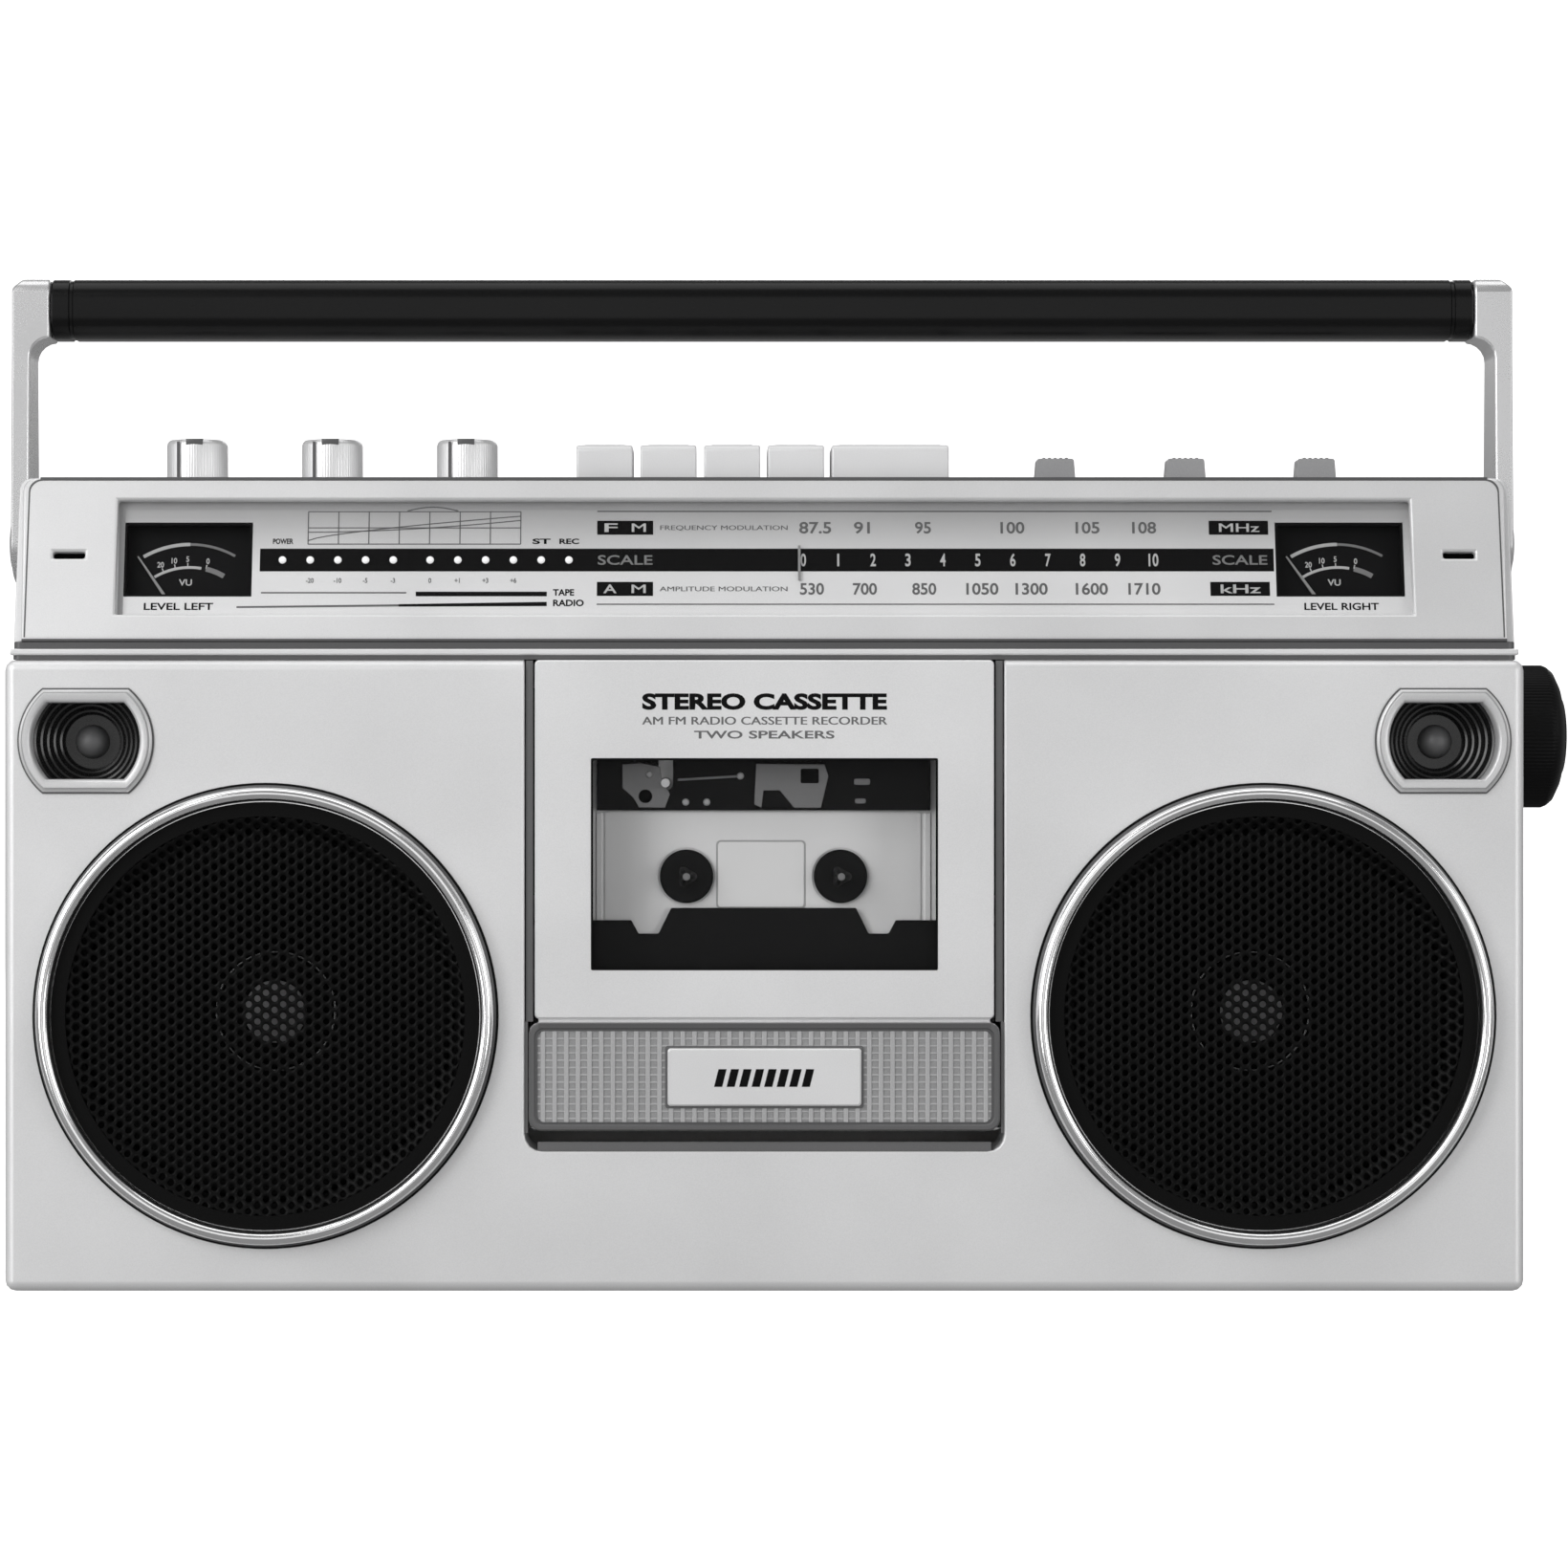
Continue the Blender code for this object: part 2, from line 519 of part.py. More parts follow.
def build_deck(looks, cabinet):
    back = CHASSIS_Y + 1.5
    chassis = piece("deck_chassis", rounded(block((-60, CHASSIS_Y, 62), (60, back, 170)), 4, "Y", 2),
                    looks["steel"], cabinet)
    side = [(back - 0.5, 110), (back - 0.5, 168), (28, 176), (57, 207), (57, 221), (67, 221), (67, 200),
            (44, 170), (36, 110)]
    rod = moved(turned([(0, -57), (1.2, -57), (1.2, 57), (0, 57)], "X", 12), 0, *KEY_PIVOT)
    joined(chassis, together(prism(side, "X", -58, -56.5), prism(side, "X", 56.5, 58)), rod)
    holes = [(-SPINDLE_X, SPINDLE_Z, 1.8), (SPINDLE_X, SPINDLE_Z, 1.8), (CAPSTAN_X, CAPSTAN_Z, 1.5)]
    bores = [moved(turned([(0, 18), (r, 18), (r, 24), (0, 24)], "Y", 16), x, 0, z) for x, z, r in holes]
    cut(chassis, together(*bores))

    build_spindle("supply_spindle", -SPINDLE_X, looks, cabinet)
    build_spindle("takeup_spindle", SPINDLE_X, looks, cabinet)

    carriage = piece("head_carriage", block((-46, 18, 132.5), (46, 19.7, 165)), looks["black"], cabinet)
    axle = moved(turned([(0, 8.4), (1.2, 8.4), (1.2, 18.5), (0, 18.5)], "Y", 12), CAPSTAN_X, 0, ROLLER_Z)
    joined(carriage, block((-2.1, 17.6, 133.3), (11.1, 18.5, 145.2)), block((-6.5, 10, 152.5), (6.5, 18.5, 161)),
           axle)
    cut(carriage, prism(round_box((CAPSTAN_X - 2, 138), (CAPSTAN_X + 2, 151), 1.9), "Y", 17, 21))
    roller = [(1.5, 9), (5.2, 9), (5.5, 9.4), (5.5, 15.6), (5.2, 16), (1.5, 16)]
    piece("pinch_roller", turned(roller, "Y", 20, ring=True), looks["rubber"], cabinet,
          at=(CAPSTAN_X, 0, ROLLER_Z))

    flywheel = [(0, 8), (1.2, 8), (1.2, 26), (FLYWHEEL_R, 26), (FLYWHEEL_R, 33), (1.2, 33), (1.2, 36), (0, 36)]
    piece("capstan_flywheel", turned(flywheel, "Y", 24), looks["brass"], cabinet, at=(CAPSTAN_X, 0, CAPSTAN_Z))
    motor = [(0, 46), (1.3, 46), (1.3, 38), (15.5, 38), (16, 38.5), (16, 62), (0, 62)]
    piece("tape_motor", turned(motor, "Y", 24), looks["steel"], cabinet, at=(MOTOR_X, 0, MOTOR_Z))
    pulley = [(0, 27), (PULLEY_R + 0.8, 27), (PULLEY_R, 28), (PULLEY_R, 31), (PULLEY_R + 0.8, 32), (1, 32),
              (1, 45), (0, 45)]
    piece("motor_pulley", turned(pulley, "Y", 20), looks["brass"], cabinet, at=(MOTOR_X, 0, MOTOR_Z))
    circles = [(CAPSTAN_X, CAPSTAN_Z), (MOTOR_X, MOTOR_Z)]
    outlines = [belt_outline(circles[0], FLYWHEEL_R + off, circles[1], PULLEY_R + off) for off in (1.3, GAP)]
    piece("drive_belt", loop_prism(*outlines, "Y", 28.8, 30.2), looks["rubber"], cabinet)


# ---------------------------------------------------------------- top controls

def build_keys(look, cabinet):
    pivot_y, pivot_z = KEY_PIVOT
    front, back, top = KEY_FRONT - pivot_y, KEY_BACK - pivot_y, KEY_TOP - pivot_z
    left = -(4 * KEY_WIDTH + STOP_KEY_WIDTH + 4 * KEY_GAP) / 2
    for name in KEY_NAMES:
        width = STOP_KEY_WIDTH if name == KEY_NAMES[-1] else KEY_WIDTH
        side = [(back, top), (front + 1.2, top), (front, top - 1.2), (front, -2), (back - 8, -2)]
        ear = arc((0, 0), 3.0, 220, 360, 6)
        body = prism(side + ear + [(back, 0)], "X", -width / 2, width / 2)
        key = piece(name, body, look, cabinet, at=(left + width / 2, pivot_y, pivot_z))
        bore = turned([(0, -20), (1.5, -20), (1.5, 20), (0, 20)], "X", 12)
        cut(key, bore)
        left += width + KEY_GAP


def build_knobs(looks, cabinet):
    for name, x in KNOB_XS.items():
        low = TOP + 0.4
        profile = [(0, TOP - 9), (3, TOP - 9), (3, low), (KNOB_R, low), (KNOB_R, low + 3), (KNOB_R - 0.5, 236.4),
                   (KNOB_R - 1.7, 237.6), (0, 237.6)]
        knob = piece(name, turned([(r, z - TOP) for r, z in profile], "Z", 24), looks["chrome"], cabinet,
                     at=(x, CONTROL_Y, TOP))
        cut(knob, block((-0.5, -KNOB_R - 1, 12.9), (0.5, -2, 15)))
    for name, x in SWITCH_XS.items():
        cap = [(-5.85, 0.3), (5.85, 0.3), (5.2, 8.4), (-5.2, 8.4)]
        switch = piece(name, rounded(prism(cap, "Y", -4, 4), 0.6, "XY", 2, lambda middle: middle.z > 1),
                       looks["grey"], cabinet, at=(x, CONTROL_Y, TOP))
        joined(switch, block((-2, -1.2, -8), (2, 1.2, 1)))


def build_tuning_knob(look, cabinet):
    outer = TUNING_OUT
    start = HALF_WIDTH + 1.3
    profile = [(0, 196), (3, 196), (3, start), (TUNING_R - 0.8, start), (TUNING_R, start + 0.8)]
    profile += [(TUNING_R, outer - 6.4), (TUNING_R - 1.4, outer - 4.1), (TUNING_R - 4.8, outer - 2.4),
                (TUNING_R - 11.6, outer - 0.7), (0, outer)]
    knob = turned([(r, x - HALF_WIDTH) for r, x in profile], "X", 28)
    piece("tuning_knob", knob, look, cabinet, at=(HALF_WIDTH, TUNING_Y, TUNING_Z))


# ---------------------------------------------------------------- handle and aerial

def build_handle(looks, cabinet):
    pivot_y, pivot_z = HANDLE_PIVOT
    pivot = empty("handle_pivot", cabinet, (0, pivot_y, pivot_z))
    low, high = GRIP_LOW - pivot_z, GRIP_HIGH - pivot_z
    grip = prism(round_box((-9.2, low), (9.2, high), 6, 4), "X", -GRIP_HALF, GRIP_HALF)
    piece("handle_grip", grip, looks["grip"], pivot)
    side_view = arc((0, 0), 11, 180, 360, 12) + [(8.8, 54)]
    side_view += arc((4.8, high - 4), 4, 0, 90, 3) + arc((-4.8, high - 4), 4, 90, 180, 3) + [(-8.8, 54)]
    fillet = ARM_IN - GRIP_HALF - GAP
    front_view = [(ARM_IN, -12), (ARM_OUT, -12), (ARM_OUT, high - 3), (ARM_OUT - 3, high), (GRIP_HALF + GAP, high)]
    front_view += arc((ARM_IN - fillet, low - fillet), fillet, 90, 0, 5)
    for side, word in ((-1, "left"), (1, "right")):
        outline = [(side * x, z) for x, z in front_view]
        arm = piece(f"handle_arm_{word}", prism(outline, "Y", -12, 12), looks["silver_trim"], pivot)
        combine(arm, "INTERSECT", prism(side_view, "X", -230, 230))
        pin = [(0, 8.5), (4, 8.5), (4, 2.9), (6.5, 2.9), (6.5, 0.4), (0, 0.4)]
        joined(arm, turned([(r, side * (x + 199.5)) for r, x in pin], "X", 20))


def build_aerial(looks, cabinet):
    """A telescopic aerial lying along the ledge. Its base swivels about Z and its tube lifts about Y."""
    foot = turned([(0, LEDGE_Z + GAP), (5.2, LEDGE_Z + GAP), (5.2, 210), (0, 210)], "Z", 20)
    base = piece("antenna_base", moved(foot, 0, 0, -AERIAL[2]), looks["black"], cabinet, at=AERIAL)
    joined(base, turned([(0, -3.6), (5.4, -3.6), (5.4, 3.6), (0, 3.6)], "Y", 20))
    cut(base, block((-4.2, -1.5, -3.9), (9, 1.5, 9)))
    joined(base, turned([(0, -2.5), (1, -2.5), (1, 2.5), (0, 2.5)], "Y", 10))

    x0, x1 = TUBE_START - AERIAL[0], TUBE_END - AERIAL[0]
    outer = [(0, x0), (3.5, x0), (3.5, x1), (2.9, x1), (2.9, x0 + 4), (0, x0 + 4)]
    tube = piece("antenna_outer_tube", turned(outer, "X", 16), looks["chrome"], cabinet, at=AERIAL)
    joined(tube, prism(arc((0, 0), 3.3, 60, 300, 10) + [(x0 + 1, -2), (x0 + 1, 2)], "Y", -1.2, 1.2))
    cut(tube, turned([(0, -2), (1.3, -2), (1.3, 2), (0, 2)], "Y", 10))
    inner = [(0, x0 + 6), (2.6, x0 + 6), (2.6, x1 + 6), (2.0, x1 + 6), (2.0, x0 + 10), (0, x0 + 10)]
    piece("antenna_inner_tube", turned(inner, "X", 14), looks["chrome"], cabinet, at=AERIAL)
    tip = [(0, x0 + 12), (1.7, x0 + 12), (1.7, x1 + 9), (3.3, x1 + 9), (3.3, x1 + 13), (2.4, x1 + 14), (0, x1 + 14)]
    piece("antenna_tip_rod", turned(tip, "X", 12), looks["chrome"], cabinet, at=AERIAL)


# ---------------------------------------------------------------- rear fittings and electronics

def build_rear_fittings(looks, cabinet):
    pivot_y, pivot_z = COVER_PIVOT
    cover = [(1.4, 0), (1.4, BAY_HIGH + 2 - pivot_z), (-1.4, BAY_HIGH + 2 - pivot_z), (-1.4, 0)]
    cover += arc((0, 0), 1.4, 200, 340, 5)
    door = piece("battery_door", prism(cover, "X", -BAY_HALF - 2, BAY_HALF + 2), looks["silver_body"], cabinet,
                 at=(0, pivot_y, pivot_z))
    reach = BAY_HALF + 4
    joined(door, turned([(0, -reach), (1.05, -reach), (1.05, reach), (0, reach)], "X", 10))
    cut(door, block((-12, 0.5, 70), (12, 3, 74)))

    inlet = piece("power_inlet", block((-12, 100, -8), (12, DEPTH - GAP, 8)), looks["black"], cabinet,
                  at=(INLET_X, 0, INLET_Z))
    cut(inlet, prism(arc((-4, 0), 4, 90, 270, 6) + arc((4, 0), 4, -90, 90, 6), "Y", 106, DEPTH + 1))
    pins = [moved(turned([(0, 104), (1.2, 104), (1.2, 117), (0, 117)], "Y", 10), x, 0, 0) for x in (-4, 4)]
    joined(inlet, together(*pins))

    piece("main_board", block((-150, 80, 108), (150, 81.6, 168)), looks["board"], cabinet)
    core = block((112, 78, BOTTOM + WALL + GAP), (150, 110, 44))
    transformer = piece("power_transformer", core, looks["steel"], cabinet)
    joined(transformer, block((118, 73, 11), (144, 115, 37)))


def build_all():
    for leftover in list(bpy.data.objects):
        bpy.data.objects.remove(leftover, do_unlink=True)
    looks = {
        "silver_face": material("silver_face", (0.72, 0.72, 0.72), 0.4, 0.35),
        "silver_body": material("silver_body", (0.66, 0.66, 0.67), 0.45, 0.3),
        "silver_trim": material("silver_trim", (0.7, 0.7, 0.71), 0.35, 0.6),
        "chrome": material("chrome", (0.86, 0.86, 0.87), 0.12, 1.0),
        "steel": material("steel", (0.6, 0.6, 0.61), 0.35, 0.9),
        "brass": material("brass", (0.75, 0.6, 0.33), 0.3, 1.0),
        "black": material("black", (0.02, 0.02, 0.021), 0.4),
        "grille": material("grille", (0.015, 0.015, 0.016), 0.5, 0.3),
        "cone": material("cone", (0.02, 0.02, 0.02), 0.75),
        "rubber": material("rubber", (0.03, 0.03, 0.03), 0.8),
        "grip": material("grip", (0.03, 0.03, 0.031), 0.35),
        "grey": material("grey", (0.3, 0.3, 0.31), 0.45),
        "key": material("key", (0.68, 0.68, 0.69), 0.4, 0.2),
        "dial": material("dial", (0.74, 0.74, 0.75), 0.4, 0.3),
        "pointer": material("pointer", (0.8, 0.8, 0.8), 0.4),
        "needle": material("needle", (0.75, 0.75, 0.75), 0.4),
        "clear": material("clear", (0.9, 0.9, 0.9), 0.05),
        "smoked": material("smoked", (0.35, 0.35, 0.35), 0.05),
        "board": material("board", (0.12, 0.3, 0.16), 0.5),
    }
    cabinet = empty("cabinet", None, (CABINET_X, CABINET_Y, 0))
    build_front_cabinet(looks["silver_body"], cabinet)
    build_rear_cabinet(looks["silver_body"], cabinet)
    build_top_panel(looks["silver_body"], cabinet)
    build_feet(looks["rubber"], cabinet)
    build_tuner(looks, cabinet)
    for word, side in (("left", -1), ("right", 1)):
        build_speaker(word, side, looks, cabinet)
        build_tweeter(word, side, looks, cabinet)
    build_door(looks, cabinet)
    build_deck(looks, cabinet)
    build_keys(looks["key"], cabinet)
    build_knobs(looks, cabinet)
    build_tuning_knob(looks["grip"], cabinet)
    build_handle(looks, cabinet)
    build_aerial(looks, cabinet)
    build_rear_fittings(looks, cabinet)


build_all()
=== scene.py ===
"""The looks of the boombox: finishes, fine shapes, prints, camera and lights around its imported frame.

Sizes are in millimetres. The cabinet's own frame has X = 0 at its middle, Y = 0 on its front face with
+Y to the back, and Z = 0 on the floor. CABINET, TUNER and the other frames turn them into metres.
"""

import json
import math

import bmesh
import bpy
from mathutils import Matrix, Vector

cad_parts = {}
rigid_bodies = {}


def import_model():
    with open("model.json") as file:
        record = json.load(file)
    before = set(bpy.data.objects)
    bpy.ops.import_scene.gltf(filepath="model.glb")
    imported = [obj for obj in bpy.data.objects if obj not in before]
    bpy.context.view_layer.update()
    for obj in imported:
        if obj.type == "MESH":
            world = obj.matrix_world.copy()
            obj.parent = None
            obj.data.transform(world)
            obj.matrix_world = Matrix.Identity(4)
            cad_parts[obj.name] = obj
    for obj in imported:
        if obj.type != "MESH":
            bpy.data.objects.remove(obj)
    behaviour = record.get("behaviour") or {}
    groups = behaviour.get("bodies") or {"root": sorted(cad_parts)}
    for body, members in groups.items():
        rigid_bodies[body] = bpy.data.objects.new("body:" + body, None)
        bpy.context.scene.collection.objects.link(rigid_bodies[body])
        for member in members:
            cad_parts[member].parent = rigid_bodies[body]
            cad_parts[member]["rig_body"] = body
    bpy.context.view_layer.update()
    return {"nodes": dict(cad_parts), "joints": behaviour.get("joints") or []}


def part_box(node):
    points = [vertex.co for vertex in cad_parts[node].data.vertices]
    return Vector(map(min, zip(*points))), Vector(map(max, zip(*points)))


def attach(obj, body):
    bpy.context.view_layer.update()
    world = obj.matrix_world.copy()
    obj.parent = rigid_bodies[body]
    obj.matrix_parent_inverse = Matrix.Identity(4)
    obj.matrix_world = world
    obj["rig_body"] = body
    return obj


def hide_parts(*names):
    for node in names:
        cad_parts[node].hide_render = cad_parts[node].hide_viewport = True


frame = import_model()

MM = 0.001
PRINT = 0.04
BEZEL_START = 0.3
SIDES = ((-1, "left"), (1, "right"))


# ---- frames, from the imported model

def joint(name):
    return next(j for j in frame["joints"] if j["name"] == name)


def cabinet_frame():
    low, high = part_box("front_cabinet")
    return Matrix.Translation(((low.x + high.x) / 2, low.y, 0)) @ Matrix.Scale(MM, 4)


CABINET = cabinet_frame()


def pivot(name, where=CABINET):
    """The place of a joint in a frame."""
    return where.inverted() @ Vector(joint(name)["pos_m"])


def span(node):
    """The lowest and highest corner of a CAD node in the cabinet's frame."""
    back = CABINET.inverted()
    low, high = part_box(node)
    return back @ low, back @ high


def middle(node):
    low, high = span(node)
    return (low + high) / 2


def reach(node, where):
    """The lowest and highest values of a CAD node's vertices along the axes of a frame."""
    back = where.inverted()
    axes = list(zip(*(back @ vertex.co for vertex in frame["nodes"][node].data.vertices)))
    return Vector([min(axis) for axis in axes]), Vector([max(axis) for axis in axes])


def tuner_frame():
    """X to the right, Y up the tilted tuner panel from its foot, and Z out of its face."""
    axis = Vector(joint("needle_left_swing")["axis"])
    tilt = math.atan2(-axis.z, axis.y)
    rough = CABINET @ Matrix.Rotation(math.pi / 2 - tilt, 4, "X")
    low, high = reach("tuner_bezel", rough)
    return rough @ Matrix.Translation((0, low.y - BEZEL_START, high.z))


DEPTH = span("rear_cabinet")[1].y
TOP = span("top_panel")[1].z
TUNER = tuner_frame()
UPRIGHT = Matrix.Rotation(math.pi / 2, 4, "X")
FRONT = CABINET @ UPRIGHT
BACK = CABINET @ Matrix.Translation((0, DEPTH, 0)) @ Matrix.Rotation(math.pi, 4, "Z") @ UPRIGHT


# ---- outlines and shapes

def oval(x, y, across, up, angles):
    """Points on an ellipse at some angles in degrees."""
    turns = [math.radians(angle) for angle in angles]
    return [(x + across * math.cos(turn), y + up * math.sin(turn)) for turn in turns]


def arc(centre, radius, start, end, steps):
    return oval(*centre, radius, radius, [start + (end - start) * step / steps for step in range(steps + 1)])


def round_box(low, high, radius, steps=8):
    """The outline of a rectangle with round corners."""
    (left, bottom), (right, top) = low, high
    left, bottom, right, top = left + radius, bottom + radius, right - radius, top - radius
    corners = ((right, bottom, -90), (right, top, 0), (left, top, 90), (left, bottom, 180))
    return [point for x, y, turn in corners for point in arc((x, y), radius, turn, turn + 90, steps)]


def flat_circle(radius, flat, steps=48):
    """The outline of a circle with its top and bottom cut flat."""
    limit = math.degrees(math.asin(flat / radius))
    return arc((0, 0), radius, -limit, limit, steps) + arc((0, 0), radius, 180 - limit, 180 + limit, steps)


def block(low, high):
    size = Vector(high) - Vector(low)
    centre = (Vector(high) + Vector(low)) / 2
    shape = bmesh.new()
    bmesh.ops.create_cube(shape, size=1, matrix=Matrix.Translation(centre) @ Matrix.Diagonal((*size, 1)))
    return shape


def side_block(side, near, far, low, high):
    """A block on one side of the middle: its nearest and farthest X, and its lowest and highest Y and Z."""
    start, end = sorted((side * near, side * far))
    return block((start, *low), (end, *high))


def placed(axis, flat, along):
    """The point at the two in-plane coordinates flat, at the distance along on the axis."""
    first, second = flat
    return {"X": (along, first, second), "Y": (first, along, second), "Z": (first, second, along)}[axis]


def skin(shape, row, following, steps):
    """Faces between two closed rows of vertices, either of which may be a single one."""
    for step in range(steps):
        after = (step + 1) % steps
        near = [row[index % len(row)] for index in (step, after)]
        far = [following[index % len(following)] for index in (after, step)]
        shape.faces.new(list(dict.fromkeys(near + far)))


def loft(rows, axis, closed=False):
    """Skins outlines of equally many points, each with its distance along the axis."""
    shape = bmesh.new()
    rings = [[shape.verts.new(placed(axis, point, along)) for point in outline] for outline, along in rows]
    for ring, following in zip(rings, rings[1:] + (rings[:1] if closed else [])):
        skin(shape, ring, following, len(ring))
    if not closed:
        shape.faces.new(rings[0])
        shape.faces.new(rings[-1])
    bmesh.ops.recalc_face_normals(shape, faces=shape.faces)
    return shape


def prism(outline, axis, low, high):
    """A flat outline pushed along an axis. The outline's two coordinates keep the order X, Y, Z."""
    return loft([(outline, low), (outline, high)], axis)


def band(outer, inner, axis, low, high):
    """A frame between two outlines with equally many points."""
    return loft([(outer, low), (outer, high), (inner, high), (inner, low)], axis, closed=True)


def box_band(low, high, width, corners, axis, start, end):
    """A frame of some width inside a rectangle, with the radius of its outer and inner corners."""
    inner = round_box([value + width for value in low], [value - width for value in high], corners[1])
    return band(round_box(low, high, corners[0]), inner, axis, start, end)


def turned(profile, axis, steps=96, ring=False, flutes=0, flute_depth=0.0):
    """A profile of (radius, distance along the axis) turned about the axis.

    A ring's profile closes on itself. Otherwise it starts and ends on the axis. Rows with a third
    value are fluted: their radius swings in and out by flute_depth, flutes times around.
    """
    shape = bmesh.new()
    rows = []
    for radius, along, *fluted in profile:
        row = []
        for step in range(steps if radius else 1):
            angle = 2 * math.pi * step / steps
            swing = flute_depth * (1 - math.cos(flutes * angle)) / 2 if fluted else 0
            point = ((radius - swing) * math.cos(angle), (radius - swing) * math.sin(angle))
            row.append(shape.verts.new(placed(axis, point, along)))
        rows.append(row)
    for row, following in zip(rows, rows[1:] + (rows[:1] if ring else [])):
        skin(shape, row, following, steps)
    bmesh.ops.recalc_face_normals(shape, faces=shape.faces)
    return shape


def disc(radius, low, high, axis, steps):
    return turned([(0, low), (radius, low), (radius, high), (0, high)], axis, steps)


def moved(shape, x=0.0, y=0.0, z=0.0):
    bmesh.ops.translate(shape, verts=shape.verts, vec=(x, y, z))
    return shape


def rounded(shape, radius, along, segments=4):
    """The shape with a round on its straight edges that run along the given axes."""
    edges = []
    for edge in shape.edges:
        direction = (edge.verts[1].co - edge.verts[0].co).normalized()
        if "XYZ"[max(range(3), key=lambda i: abs(direction[i]))] in along:
            edges.append(edge)
    bmesh.ops.bevel(shape, geom=edges, offset=radius, segments=segments, profile=0.5, affect="EDGES")
    return shape


def ridge(low, high, radius, along):
    """A small block with a round on its edges along the given axes."""
    return rounded(block(low, high), radius, along, 2)


def as_mesh(shape, name):
    mesh = bpy.data.meshes.new(name)
    shape.to_mesh(mesh)
    shape.free()
    return mesh


def together(shapes):
    whole = bmesh.new()
    for shape in shapes:
        part = as_mesh(shape, "part")
        whole.from_mesh(part)
        bpy.data.meshes.remove(part)
    return whole


def linked(name, data):
    """A new object in the scene."""
    made = bpy.data.objects.new(name, data)
    bpy.context.scene.collection.objects.link(made)
    return made


# ---- prints: thin shapes that lie in the XY plane

def bar(x0, y0, x1, y1):
    return block((x0, y0, 0), (x1, y1, PRINT))


def stroke(start, end, width, end_width=None):
    """A line between two points, which may taper."""
    start, end = Vector(start), Vector(end)
    along = (end - start).normalized()
    side = Vector((-along.y, along.x)) / 2
    far = width if end_width is None else end_width
    outline = [start + side * width, start - side * width, end - side * far, end + side * far]
    return prism(outline, "Z", 0, PRINT)


def strokes(points, width):
    return [stroke(a, b, width) for a, b in zip(points, points[1:])]


def outward(centre, degrees, distance):
    """The point at a distance from a centre, in a direction."""
    angle = math.radians(degrees)
    return Vector(centre) + distance * Vector((math.cos(angle), math.sin(angle)))


def ray(centre, degrees, near, far):
    """A tick that points away from a centre, between two distances from it."""
    return stroke(outward(centre, degrees, near), outward(centre, degrees, far), 0.3)


def sweep(centre, radius, start, end, width):
    """An arc of some width, from one angle to another in degrees."""
    outer = arc(centre, radius + width / 2, start, end, 24)
    return prism(outer + arc(centre, radius - width / 2, end, start, 24), "Z", 0, PRINT)


def letter_mesh(text, weight=0.0):
    curve = bpy.data.curves.new("words", "FONT")
    curve.body = text
    curve.offset = weight
    curve.align_x = "CENTER"
    curve.extrude = 0.5
    curve.resolution_u = 4
    holder = linked("words", curve)
    bpy.context.view_layer.update()
    mesh = bpy.data.meshes.new_from_object(holder.evaluated_get(bpy.context.evaluated_depsgraph_get()))
    bpy.data.objects.remove(holder)
    bpy.data.curves.remove(curve)
    return mesh


def cap_height():
    heights = [vertex.co.y for vertex in letter_mesh("H").vertices]
    return max(heights) - min(heights)


CAP = cap_height()


def words(text, x, y, height, width=None, weight=0.012):
    """Capitals of a height with their middle at x, y, fitted to a width.

    The font's M breaks when its outline grows, so words with an M get their weight from a second copy.
    """
    doubled = "M" in text and weight
    shape = bmesh.new()
    shape.from_mesh(letter_mesh(text, 0 if doubled else weight))
    scale = height / CAP
    xs = [v.co.x for v in shape.verts]
    across = width / (max(xs) - min(xs)) if width else scale * 0.86
    bmesh.ops.scale(shape, vec=(across, scale, PRINT), verts=shape.verts)
    letters = moved(shape, x, y - height / 2, PRINT / 2)
    if not doubled:
        return letters
    return together([letters, moved(letters.copy(), 2.5 * weight * scale, 0, -PRINT / 8)])


# ---- materials

